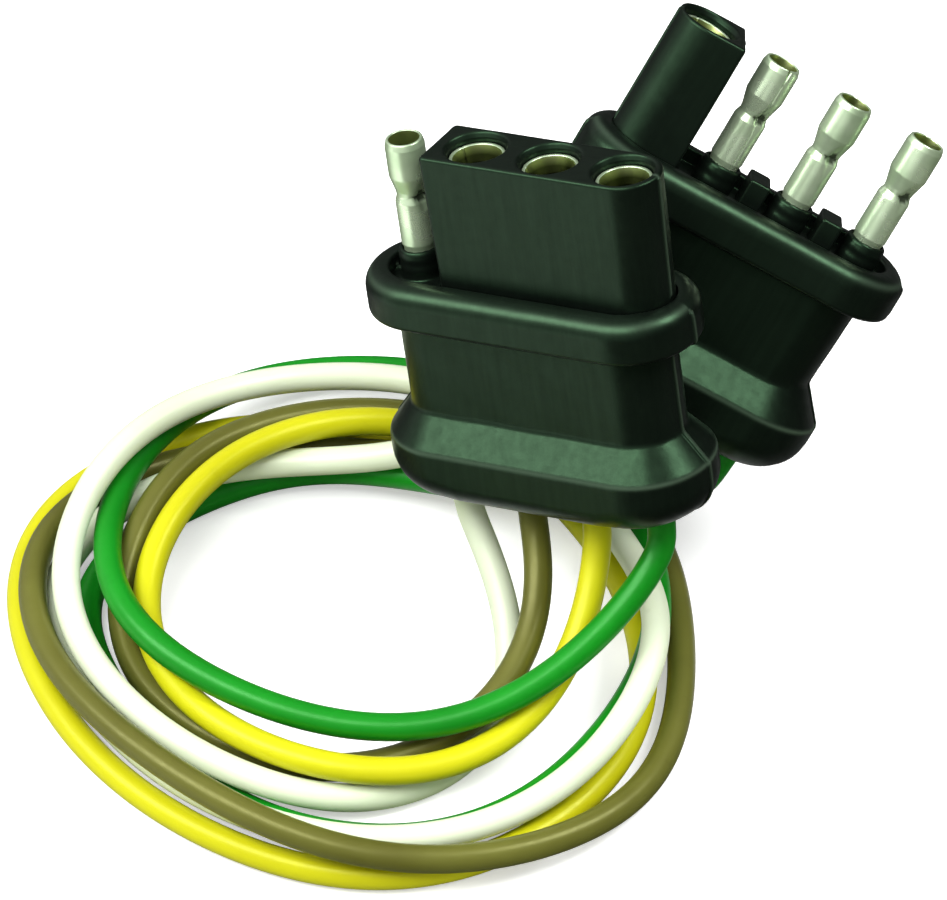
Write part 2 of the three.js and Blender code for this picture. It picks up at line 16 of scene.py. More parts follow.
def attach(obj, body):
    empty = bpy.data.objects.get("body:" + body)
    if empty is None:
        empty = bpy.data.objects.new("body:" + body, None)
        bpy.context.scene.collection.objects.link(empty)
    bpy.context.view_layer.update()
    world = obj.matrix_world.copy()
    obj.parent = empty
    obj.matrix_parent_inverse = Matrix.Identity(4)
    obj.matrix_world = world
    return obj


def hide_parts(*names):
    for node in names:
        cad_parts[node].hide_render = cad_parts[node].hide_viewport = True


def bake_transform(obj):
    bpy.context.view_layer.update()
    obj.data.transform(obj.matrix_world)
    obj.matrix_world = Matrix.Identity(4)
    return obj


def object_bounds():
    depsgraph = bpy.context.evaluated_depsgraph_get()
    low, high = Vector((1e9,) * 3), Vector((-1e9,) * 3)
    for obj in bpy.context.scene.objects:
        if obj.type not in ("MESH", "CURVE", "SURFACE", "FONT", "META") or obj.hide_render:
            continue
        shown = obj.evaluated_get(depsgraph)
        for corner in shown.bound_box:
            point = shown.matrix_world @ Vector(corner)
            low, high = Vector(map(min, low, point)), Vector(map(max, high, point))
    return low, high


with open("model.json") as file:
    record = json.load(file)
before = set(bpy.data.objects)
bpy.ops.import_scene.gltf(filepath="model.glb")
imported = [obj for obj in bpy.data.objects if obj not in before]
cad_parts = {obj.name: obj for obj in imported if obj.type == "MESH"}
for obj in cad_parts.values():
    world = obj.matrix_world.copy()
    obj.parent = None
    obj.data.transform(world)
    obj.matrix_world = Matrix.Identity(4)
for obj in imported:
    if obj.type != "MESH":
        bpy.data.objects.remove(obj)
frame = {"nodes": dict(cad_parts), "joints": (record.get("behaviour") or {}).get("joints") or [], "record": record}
CAD_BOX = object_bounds()

# ------------------------------------------------------------------ sizes, mm
MM = 0.001
COLOURS = ["white", "brown", "yellow", "green"]     # by way, from -x to +x
PIN_WAYS = {"front": [0], "rear": [1, 2, 3]}
SOCKET_WAYS = {"front": [1, 2, 3], "rear": [0]}

PITCH = 9.5             # of the contacts
WIRE_PITCH = 8.6        # of the wires where the lead flexes
ROW = [PITCH * (way - 1.5) for way in range(4)]
WIRE_ROW = [WIRE_PITCH * (way - 1.5) for way in range(4)]
FLEX_Z = -30.4

# "centre" is half the distance between the centres of a part's round ends
RIM_TOP = 0.7
RIM_BOTTOM = -4.6
RIM_CENTRE = 12.9
RIM_RADIUS = 7.9
RIM_INSIDE = 4.9
WAIST_CENTRE = 12.0
WAIST_RADIUS = 5.4
BASE_CENTRE = 12.0
BASE_RADIUS = 8.4
BASE_BOTTOM = -27.0
BASE_SHOULDER = -20.1
BAR_CENTRE = 12.5
BAR_RADIUS = 3.5
INSERT_BOTTOM = -10.6
BLOCK_HALF = 4.25       # half thickness of the socket block
BLOCK_STEP = -9.75      # its straight end, between ways 0 and 1
BLOCK_TOP = 16.5

WIRE_RADIUS = 1.65
BORE_RADIUS = 0.9
# sideways run of each wire per mm of z, between the insert and the flex line
WIRE_SLOPE = [(wire - contact) / (FLEX_Z - INSERT_BOTTOM)
              for wire, contact in zip(WIRE_ROW, ROW)]


# ------------------------------------------------------------------ connector frames
def unit(vector):
    vector = np.array(vector, float)
    return vector / np.linalg.norm(vector)


def connector_place(kind):
    """Origin in mm, and the x, y, z axes as columns: the flex hinge gives a point and
    the x axis, the mating face gives the z axis."""
    joint = next(j for j in frame["joints"] if j["name"] == kind + "_lead_flex")
    mount = next(m for m in frame["record"]["mounts"] if m["name"] == kind + "_mating_face")
    z = unit(mount["axis"])
    x = unit(joint["axis"])
    x = unit(x - z * (x @ z))
    y = np.cross(z, x)
    origin = np.array(joint["pos_m"], float) / MM - FLEX_Z * z
    return origin, np.stack([x, y, z], 1)


PLACE = {kind: connector_place(kind) for kind in ("front", "rear")}


def to_world(kind, points):
    """Connector-frame points, mm, to the model frame, m."""
    origin, axes = PLACE[kind]
    return (np.asarray(points, float) @ axes.T + origin) * MM


def wire_x(way, z):
    return ROW[way] + WIRE_SLOPE[way] * (z - INSERT_BOTTOM)


# ------------------------------------------------------------------ mesh making
def make_object(name, vertices, faces, materials, normals=None, face_materials=None, sharp=None):
    """Smooth-shaded mesh object; sharp is the crease angle in degrees."""
    mesh = bpy.data.meshes.new(name)
    mesh.from_pydata(np.asarray(vertices).tolist(), [], np.asarray(faces).tolist())
    mesh.update()
    for material in materials:
        mesh.materials.append(material)
    if face_materials is not None:
        mesh.polygons.foreach_set("material_index", np.asarray(face_materials, np.int32))
    mesh.polygons.foreach_set("use_smooth", np.ones(len(mesh.polygons), bool))
    if sharp is not None:
        mesh.set_sharp_from_angle(angle=math.radians(sharp))
    if normals is not None:
        mesh.normals_split_custom_set_from_vertices(normals.tolist())
    piece = bpy.data.objects.new(name, mesh)
    bpy.context.scene.collection.objects.link(piece)
    return piece


def point_attribute(piece, name, values):
    kind, field = ("FLOAT", "value") if values.ndim == 1 else ("FLOAT_VECTOR", "vector")
    layer = piece.data.attributes.new(name, kind, "POINT")
    layer.data.foreach_set(field, values.astype(np.float32).ravel())


def ring_quads(rows, columns):
    """Quads between neighbouring rings of vertices; the last row closes onto the first."""
    row, column = np.meshgrid(np.arange(rows), np.arange(columns), indexing="ij")
    here = row * columns
    after = (row + 1) % rows * columns
    beside = (column + 1) % columns
    corners = [here + column, after + column, after + beside, here + beside]
    return np.stack(corners, -1).reshape(-1, 4)


# ------------------------------------------------------------------ surface nets
def row_lengths(vectors):
    return np.linalg.norm(vectors, axis=1, keepdims=True)


def gradient(field, points, reach=0.012):
    """Slope of the field, from four samples at the corners of a tetrahedron."""
    slope = np.zeros_like(points)
    for corner in ((1, -1, -1), (-1, -1, 1), (-1, 1, -1), (1, 1, 1)):
        corner = np.array(corner, float)
        slope += field(*(points + reach * corner).T)[:, None] * corner
    return slope / (4 * reach)


def surface_normals(field, points, reach=0.012):
    slope = gradient(field, points, reach)
    return slope / np.maximum(row_lengths(slope), 1e-9)


def project(field, points, times):
    """Newton steps onto the surface, each at most 0.2 mm."""
    for _ in range(times):
        slope = gradient(field, points)
        value = field(*points.T)
        step = (value / np.maximum((slope * slope).sum(1), 0.2))[:, None] * slope
        points = points - step * np.minimum(1.0, 0.2 / np.maximum(row_lengths(step), 1e-9))
    return points


def relax(field, points, quads, rounds=2, share=0.35):
    """Evens out the mesh by sliding its points along the surface."""
    pairs = np.concatenate([quads[:, [k, (k + 1) % 4]] for k in range(4)])
    for _ in range(rounds):
        total = np.zeros_like(points)
        count = np.zeros(len(points))
        for own, other in ((0, 1), (1, 0)):
            np.add.at(total, pairs[:, own], points[pairs[:, other]])
            np.add.at(count, pairs[:, own], 1)
        move = total / count[:, None] - points
        normals = surface_normals(field, points)
        move -= (move * normals).sum(1, keepdims=True) * normals
        points = project(field, points + share * move, 2)
    return points


def edge_crossings(values, grid):
    """For each axis: its two side axes, the grid edges that cross the surface, the
    crossing points, and whether each edge starts inside."""
    found = []
    for axis in range(3):
        lower = [slice(None)] * 3
        upper = [slice(None)] * 3
        lower[axis], upper[axis] = slice(0, -1), slice(1, None)
        start, end = values[tuple(lower)], values[tuple(upper)]
        index = np.argwhere((start < 0) != (end < 0))
        start, end = start[tuple(index.T)], end[tuple(index.T)]
        points = np.stack([grid[k][index[:, k]] for k in range(3)], 1)
        lines = grid[axis]
        gap = lines[index[:, axis] + 1] - lines[index[:, axis]]
        points[:, axis] += start / (start - end) * gap
        found.append(([(axis + 1) % 3, (axis + 2) % 3], index, points, start < 0))
    return found


def shifted(index, sides, steps):
    moved = index.copy()
    moved[:, sides] += steps
    return moved


def surface_net(field, grid):
    """Closed quad mesh of the zero set of the field on a rectilinear grid, pulled onto
    the exact surface, with its normals."""
    values = field(*np.meshgrid(*grid, indexing="ij"))
    values = np.where(np.abs(values) < 1e-7, 1e-7, values)
    limits = np.array(values.shape) - 1
    crossings = edge_crossings(values, grid)

    # one vertex in each crossed cell, at the mean of its crossing points
    total = np.zeros((*limits, 3))
    count = np.zeros(limits)
    for sides, index, points, _ in crossings:
        for steps in ((0, 0), (0, -1), (-1, 0), (-1, -1)):
            cell = shifted(index, sides, steps)
            inside = np.all((cell[:, sides] >= 0) & (cell[:, sides] < limits[sides]), axis=1)
            place = tuple(cell[inside].T)
            np.add.at(total, place, points[inside])
            np.add.at(count, place, 1)
    used = count > 0
    numbers = -np.ones(limits, np.int64)
    numbers[used] = np.arange(used.sum())
    vertices = total[used] / count[used][:, None]

    # one quad round each crossed edge, facing out
    quads = []
    for sides, index, _, starts_inside in crossings:
        whole = np.all((index[:, sides] >= 1) & (index[:, sides] < limits[sides]), axis=1)
        index, starts_inside = index[whole], starts_inside[whole]
        quad = np.stack([numbers[tuple(shifted(index, sides, steps).T)]
                         for steps in ((-1, -1), (0, -1), (0, 0), (-1, 0))], 1)
        quad[~starts_inside] = quad[~starts_inside][:, ::-1]
        quads.append(quad)
    quads = np.concatenate(quads)

    vertices = relax(field, project(field, vertices, 3), quads)
    return vertices, quads, surface_normals(field, vertices, reach=0.03)


def graded(stops):
    """Grid lines between the stops; each stop is (position, spacing up to the next one)."""
    lines = [stops[0][0]]
    for (start, spacing), (end, _) in zip(stops, stops[1:]):
        count = max(1, int(math.ceil((end - start) / spacing - 1e-9)))
        lines += list(start + (end - start) * np.arange(1, count + 1) / count)
    return np.array(lines)


# ------------------------------------------------------------------ distance fields, mm
def join(body, part, blend):
    """Union of two fields with a fillet."""
    overlap = np.maximum(blend - np.abs(body - part), 0.0) / blend
    return np.minimum(body, part) - overlap * overlap * blend * 0.25


def meet(body, part, blend):
    """Intersection of two fields with a rounded edge."""
    return -join(-body, -part, blend)


def carve(body, hole, blend):
    return meet(body, -hole, blend)


def corner_distance(across, along):
    """Distance outside two perpendicular faces, rounding the corner between them."""
    inside = np.minimum(np.maximum(across, along), 0.0)
    return inside + np.hypot(np.maximum(across, 0.0), np.maximum(along, 0.0))


def stadium(x, y, centre):
    """Distance from the middle line that joins the centres of two round ends."""
    return np.hypot(np.maximum(np.abs(x) - centre, 0.0), y)


def slab(outline, z, bottom, top, bottom_round, top_round):
    """Outline extruded from bottom to top, with rounded edges."""
    rounding = np.where(z > (bottom + top) / 2, top_round, bottom_round)
    height = np.maximum(bottom - z, z - top) + rounding
    return corner_distance(outline + rounding, height) - rounding


def rounded_box(x, y, left, right, half_width, rounding):
    across_x = np.abs(x - (left + right) / 2) - (right - left) / 2 + rounding
    across_y = np.abs(y) - half_width + rounding
    return corner_distance(across_x, across_y) - rounding


def wave(x, y, z):
    """Slight unevenness of the moulded faces."""
    broad = 0.014 * np.sin(0.61 * x + 1.3) * np.sin(0.53 * z + 0.4)
    return broad + 0.008 * np.sin(1.3 * z + 0.7 * x + y)


def parting_ridge(skin, x, y, z, height, half_width, rounding, from_x, bottom, top):
    """Thin ridge standing on the skin at both ends of the row, along y = 0."""
    ridge = meet(skin - height, np.abs(y) - half_width, rounding)
    ridge = np.maximum(ridge, from_x - np.abs(x))
    ridge = np.maximum(ridge, bottom - z)
    return np.maximum(ridge, z - top)


def stem_bores(body, x, y, z):
    """Holes for the stems of the contacts, open upwards."""
    for way in range(4):
        radius = np.hypot(x - ROW[way], y)
        bore = np.maximum(radius - 1.95, INSERT_BOTTOM - 0.2 - z)
        body = carve(body, bore, blend=0.12)
    return body


def block_outline(kind, x, y):
    """Plan of the socket block (front) or of the single tower (rear)."""
    if kind == "front":
        straight_end = rounded_box(x, y, BLOCK_STEP, ROW[3], BLOCK_HALF, rounding=0.55)
        round_end = np.hypot(x - ROW[3], y) - BLOCK_HALF
        # squares off the right-hand corners of the rounded box, x 1.75 to 14.25
        middle = np.maximum(np.abs(y) - BLOCK_HALF, np.abs(x - 8.0) - 6.25)
        return np.minimum(np.minimum(straight_end, round_end), middle)
    tower_x = -14.0
    round_end = np.hypot(x - tower_x, y) - BLOCK_HALF
    straight_end = rounded_box(x, y, -16.0, BLOCK_STEP, BLOCK_HALF, rounding=0.4)
    return np.where(x < tower_x, round_end, np.minimum(round_end, straight_end))


# ------------------------------------------------------------------ cover
def cover_shell(kind, x, y, z):
    """Solid rim, waist and base."""
    uneven = wave(x, y, z)
    rim = slab(stadium(x, y, RIM_CENTRE) - RIM_RADIUS, z, RIM_BOTTOM, RIM_TOP,
               bottom_round=0.7, top_round=2.1) + 0.4 * uneven
    # the rear waist narrows downwards
    narrowing = 0.0 if kind == "front" else 0.035 * np.clip(-4.0 - z, 0.0, 14.0)
    waist = slab(stadium(x, y, WAIST_CENTRE - narrowing) - WAIST_RADIUS, z,
                 bottom=-18.6, top=-2.4, bottom_round=0.2, top_round=0.2) + uneven
    outline = stadium(x, y, BASE_CENTRE) - BASE_RADIUS
    # the bottom edge is rounded more towards the ends
    foot = 3.1 + 1.7 * np.clip((np.abs(x) - 9.0) / 9.0, 0.0, 1.0)
    base = slab(outline, z, BASE_BOTTOM, top=-15.0, bottom_round=foot, top_round=0.2)
    # sloping shoulder: rises 3.7 for each 3.0 inwards
    shoulder = (outline * 3.7 + (z - BASE_SHOULDER) * 3.0) / math.hypot(3.7, 3.0)
    base = meet(base, shoulder, blend=0.30)
    return join(join(rim, waist, blend=0.7), base, blend=0.25)


def collars_and_ribs(body, kind, x, y, z):
    """Ringed collars at the feet of the pins, with ribs between them on the rear."""
    for way in PIN_WAYS[kind]:
        ringed = 2.5 - 0.06 * (0.5 - 0.5 * np.cos((z + 1.0) * 2 * math.pi / 1.3))
        collar = slab(np.hypot(x - ROW[way], y) - ringed, z, bottom=-2.0, top=2.6,
                      bottom_round=0.1, top_round=0.5)
        body = join(body, collar, blend=0.3)
    if kind == "rear":
        for rib_x in (0.0, PITCH):
            outline = rounded_box(x - rib_x, y, -1.3, 1.3, half_width=2.2, rounding=0.25)
            rib = slab(outline, z, bottom=-2.0, top=2.9, bottom_round=0.1, top_round=0.25)
            body = join(body, rib, blend=0.3)
    return body


def wire_bores(body, x, y, z):
    """Slanting holes for the wires, flared at the bottom."""
    for way in range(4):
        stretch = math.sqrt(1 + WIRE_SLOPE[way] * WIRE_SLOPE[way])
        radius = np.hypot((x - wire_x(way, z)) / stretch, y)
        flare = 1.8 + 0.25 * np.clip((-26.3 - z) / 0.7, 0, 1.5)
        bore = np.maximum(radius - flare, z - (INSERT_BOTTOM + 1.0))
        body = carve(body, bore, blend=0.2)
    return body


def cover_field(kind, x, y, z):
    """Outer moulding: rim, grip and base."""
    body = cover_shell(kind, x, y, z)
    # floor inside the rim, with a moat round the socket block
    rim_inside = stadium(x, y, RIM_CENTRE) - RIM_INSIDE
    body = carve(body, np.maximum(rim_inside, -1.0 - z), blend=0.35)
    block = block_outline(kind, x, y)
    moat = np.maximum(np.maximum(block - 0.9, rim_inside), -2.4 - z)
    body = carve(body, moat, blend=0.2)
    ridge = parting_ridge(body, x, y, z, height=0.20, half_width=0.30, rounding=0.15,
                          from_x=12.5, bottom=-26.6, top=-0.55)
    body = join(body, ridge, blend=0.18)
    body = collars_and_ribs(body, kind, x, y, z)
    # opening for the block and seat of its bar
    body = carve(body, np.maximum(block - 0.03, -3.65 - z), blend=0.06)
    seat_end = np.maximum(-10.75 - z, z + 2.45)
    seat = np.maximum(stadium(x, y, BAR_CENTRE) - 3.6, seat_end)
    body = carve(body, seat, blend=0.1)
    body = stem_bores(body, x, y, z)
    return wire_bores(body, x, y, z)


# stops of (position, spacing), finest at the edges and the parting ridge
COVER_GRID = [
    graded([(-21.5, 0.25), (-8.0, 0.3), (8.0, 0.25), (21.5, None)]),
    graded([(-8.9, 0.27), (-0.6, 0.12), (0.6, 0.27), (8.9, None)]),
    graded([(-27.6, 0.22), (-23.6, 0.5), (-20.8, 0.12), (-19.5, 0.3), (-17.0, 0.18),
            (-15.8, 0.7), (-5.4, 0.18), (1.0, 0.24), (3.4, None)]),
]
BLOCK_GRID = [
    graded([(-19.2, 0.25), (19.2, None)]),
    graded([(-4.9, 0.26), (-0.5, 0.12), (0.5, 0.26), (4.9, None)]),
    graded([(-11.0, 0.4), (-2.0, 0.3), (1.2, 0.75), (15.1, 0.16), (16.9, None)]),
]
NO_SEAM = 9.0           # a distance at which the seam gets no painted highlight


def bell(distance, width):
    return np.exp(-(distance / width) ** 2)


def cover_painted_highlight(x, y, z):
    """Painted highlights on the base shoulder, the -y side of the rim and the parting ridge."""
    shoulder = np.hypot(stadium(x, y, BASE_CENTRE) - 8.32, z - BASE_SHOULDER)
    lip = np.hypot(stadium(x, y, RIM_CENTRE) - 7.25, z - 0.05)
    seam = np.where((np.abs(x) > 12.5) & (z < -0.2), np.abs(y), NO_SEAM)
    return (0.42 * bell(shoulder, width=0.26) + 0.30 * bell(lip, width=0.42) * (y < 0)
            + 0.35 * bell(seam, width=0.20))


def block_painted_highlight(x, y, z):
    """Painted highlight on the parting ridge."""
    seam = np.where((np.abs(x) > 17.9) & (z > 1.0), np.abs(y), NO_SEAM)
    return 0.4 * bell(seam, width=0.20)


# ------------------------------------------------------------------ block
def block_field(kind, x, y, z):
    """Inner moulding: the bar inside the cover, and the socket block or tower on it."""
    # a slight draft: the front block widens towards its mouth, about x = 4.5
    widening = 1.0 + 0.0022 * (np.clip(z, 0.0, BLOCK_TOP) - 8.0)
    outline = block_outline(kind, 4.5 + (x - 4.5) / widening if kind == "front" else x, y)
    block = slab(outline, z, -3.6, BLOCK_TOP, bottom_round=0.1, top_round=0.38)
    block = block + 0.6 * wave(x, y, z)
    ridge = parting_ridge(outline, x, y, z, height=0.16, half_width=0.28, rounding=0.12,
                          from_x=9.5, bottom=1.0, top=16.2)
    block = join(block, ridge, blend=0.15)
    bar = slab(stadium(x, y, BAR_CENTRE) - BAR_RADIUS, z, INSERT_BOTTOM, top=-2.6,
               bottom_round=0.2, top_round=0.2)
    body = join(block, bar, blend=0.2)
    for way in SOCKET_WAYS[kind]:
        mouth = 3.4 + 0.28 * np.clip((z - 15.9) / 0.6, 0, 1.6)
        well = np.maximum(np.hypot(x - ROW[way], y) - mouth, -0.4 - z)
        body = carve(body, well, blend=0.22)
    return stem_bores(body, x, y, z)


def build_moulding(kind, name, replaced, material, field, grid, painted_highlight):
    """One rubber part. Its material reads a point attribute of painted edge highlights, and its
    connector-frame coordinates."""
    points, quads, normals = surface_net(lambda x, y, z: field(kind, x, y, z), grid)
    world_normals = normals @ PLACE[kind][1].T
    piece = make_object(f"{kind}_{name}", to_world(kind, points), quads, [MAT[material]],
                        world_normals)
    # painted highlight: lighter edge lines of the rubber, kept as a point attribute
    point_attribute(piece, "painted_highlight", np.clip(painted_highlight(*points.T), 0, 1))
    point_attribute(piece, "local", points)
    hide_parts(f"{kind}_{replaced}")
    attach(piece, kind + "_connector")


def build_housing(kind):
    build_moulding(kind, "cover", "housing", "rubber",
                   cover_field, COVER_GRID, cover_painted_highlight)
    build_moulding(kind, "moulded_block", "contact_block", "rubber_block",
                   block_field, BLOCK_GRID, block_painted_highlight)


# ------------------------------------------------------------------ turned contacts
# Closed profiles from the tip down the outside and back up the bore:
# (radius, height, corner rounding, 0 = plated outside or 1 = inside)
PIN_LOOP = [
    (1.80, 16.25, 0.10, 0), (2.10, 16.25, 0.22, 0), (2.3, 15.5, 0.4, 0), (2.3, 11.8, 1.0, 0),
    (1.80, 9.9, 0.5, 0), (1.72, 9.3, 0.4, 0), (2.0, 8.5, 0.5, 0), (2.0, 3.2, 0.2, 0),
    (1.8, 2.6, 0.2, 0), (1.8, -10.0, 0.3, 0), (1.45, -10.8, 0.2, 0), (1.45, -13.6, 0.1, 1),
    (0.95, -13.6, 0.1, 1), (0.95, 9.0, 0.4, 1), (1.62, 10.8, 0.6, 1),
]
SOCKET_LOOP = [
    (2.86, 15.35, 0.12, 0), (3.30, 15.35, 0.16, 0), (2.82, 13.8, 0.5, 0), (2.82, 0.9, 0.3, 0),
    (1.8, 0.0, 0.2, 0), (1.8, -10.0, 0.3, 0), (1.45, -10.8, 0.2, 0), (1.45, -13.6, 0.1, 1),
    (0.95, -13.6, 0.1, 1), (0.95, 0.6, 0.1, 1), (2.36, 1.7, 0.3, 1), (2.36, 13.4, 0.5, 1),
]
CORNER_STEPS = 5
TURNED_SEGMENTS = 72
LONGEST_ROW = 0.45      # straight runs are divided, so that dents have something to bend
SEAM_OFFSETS = np.array([-0.10, -0.055, -0.03, 0.0, 0.03, 0.055, 0.10])     # radians
SMALLEST_STEP = 0.012   # radians
SEAM_HALF_ANGLE = 0.055
# by way, angles in radians; way 0 is the front pin, the others are on the rear
PIN_SEAMS = [2.2, -1.15, 2.6, 2.9]
PIN_DENTS = [(-0.35, 2.8), (-1.0, 2.1), (-1.05, 2.1), (-0.95, 2.2)]
SLIT_WAY = 1            # the pin whose seam ends in a notch at the tip
# inside these radii a contact is painted darker with depth, painted shade in its bore
PIN_DARK_RADIUS = 1.64
SOCKET_DARK_RADIUS = 2.80


def rounded_loop(loop):
    """Profile with its corners rounded: (radius, height) points and a tag for each."""
    points, tags = [], []
    for k, (*corner, rounding, tag) in enumerate(loop):
        corner = np.array(corner, float)
        before = np.array(loop[k - 1][:2], float) - corner
        after = np.array(loop[(k + 1) % len(loop)][:2], float) - corner
        before_length, after_length = np.linalg.norm(before), np.linalg.norm(after)
        before, after = before / before_length, after / after_length
        angle = math.acos(max(-1, min(1, before @ after)))
        setback = min(rounding / math.tan(angle / 2), 0.48 * before_length, 0.48 * after_length)
        for step in range(CORNER_STEPS + 1):
            t = step / CORNER_STEPS
            points.append((1 - t) ** 2 * (corner + before * setback)
                          + 2 * t * (1 - t) * corner + t * t * (corner + after * setback))
            tags.append(tag)
    return points, tags


def divided_loop(loop):
    """Rounded profile with extra rows on its long runs."""
    corners, corner_tags = rounded_loop(loop)
    points, tags = [], []
    for k, (start, tag) in enumerate(zip(corners, corner_tags)):
        run = corners[(k + 1) % len(corners)] - start
        count = max(1, int(math.ceil(np.linalg.norm(run) / LONGEST_ROW)))
        points += [start + run * step / count for step in range(count)]
        tags += [tag] * count
    return np.array(points), tags


def seamed_angles(seam):
    """Angles round the contact, with extra ones at the seam."""
    even = 2 * math.pi * np.arange(TURNED_SEGMENTS) / TURNED_SEGMENTS
    angles = np.sort(np.mod(np.concatenate([even, seam + SEAM_OFFSETS]), 2 * math.pi))
    return angles[np.append(np.diff(angles) > SMALLEST_STEP, True)]


def turned(name, kind, way, loop, seam, deform, dark_radius):
    profile, tags = divided_loop(loop)
    angles = seamed_angles(seam)
    radius, height, angle = np.broadcast_arrays(profile[:, :1], profile[:, 1:], angles[None])
    radius, height = deform(radius, height, angle)
    x = radius * np.cos(angle) + ROW[way]
    points = np.stack([x, radius * np.sin(angle), height], 2).reshape(-1, 3)
    piece = make_object(name, to_world(kind, points), ring_quads(len(profile), len(angles)),
                        [MAT["tin"], MAT["tin_in"]],
                        face_materials=np.repeat(tags, len(angles)), sharp=50)
    # painted shade: inside faces are painted darker with depth
    painted_bore_shade = np.where(radius < dark_radius, np.clip((15.1 - height) / 0.9, 0, 1), 0.0)
    point_attribute(piece, "painted_bore_shade", painted_bore_shade.ravel())
    return piece


def wedge(angle, centre, half_angle):
    """1 at the centre angle, falling to 0 at the half angle on either side."""
    gap = np.abs((angle - centre + math.pi) % (2 * math.pi) - math.pi)
    return np.clip(1 - gap / half_angle, 0, 1)


def pin_deform(way):
    seam = PIN_SEAMS[way]

    def deform(radius, height, angle):
        # heights and radii of a line between the bore and the outside
        outer = radius > np.interp(height, [9.4, 9.9, 11.0, 12.0], [1.3, 1.68, 1.72, 1.95])
        # rolled seam of the sheet
        groove = 0.10 * wedge(angle, seam, SEAM_HALF_ANGLE)
        radius = radius - np.where(outer & (height < 16.0), groove, 0)
        # pinched dents at the neck: a wedge below it and a shallower one above
        below = np.clip((height - 7.2) / 2.2, 0, 1) * (height <= 9.4)
        above = np.clip((11.4 - height) / 2.0, 0, 1) * (height > 9.4)
        for dent in PIN_DENTS[way]:
            for reach, spread, depth in ((below, 0.75, 0.50), (above, 0.6, 0.32)):
                pinch = wedge(angle, dent, 0.10 + spread * reach)
                smooth = pinch * pinch * (3 - 2 * pinch)
                radius = radius - np.where(outer, depth * reach * smooth, 0)
        if way == SLIT_WAY:
            height = height - np.where(height > 14.6, wedge(angle, seam, 0.10), 0)
        return np.where(outer, np.maximum(radius, 1.15), radius), height

    return deform


def socket_deform(seam):
    def deform(radius, height, angle):
        groove = 0.12 * wedge(angle, seam, SEAM_HALF_ANGLE)
        radius = radius - np.where((radius > 2.5) & (height > 0.5), groove, 0)
        inner = (radius < 2.5) & (radius > 2.0) & (height > 1.8)
        return radius + np.where(inner, groove, 0), height

    return deform


def build_contact(kind, way, colour):
    if way in PIN_WAYS[kind]:
        piece = turned(f"{kind}_{colour}_bullet", kind, way, PIN_LOOP, PIN_SEAMS[way],
                       pin_deform(way), PIN_DARK_RADIUS)
        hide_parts(f"{kind}_{colour}_pin")
    else:
        seam = 2.0 + 0.7 * way
        piece = turned(f"{kind}_{colour}_receptacle", kind, way, SOCKET_LOOP, seam,
                       socket_deform(seam), SOCKET_DARK_RADIUS)
        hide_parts(f"{kind}_{colour}_socket")
    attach(piece, kind + "_connector")


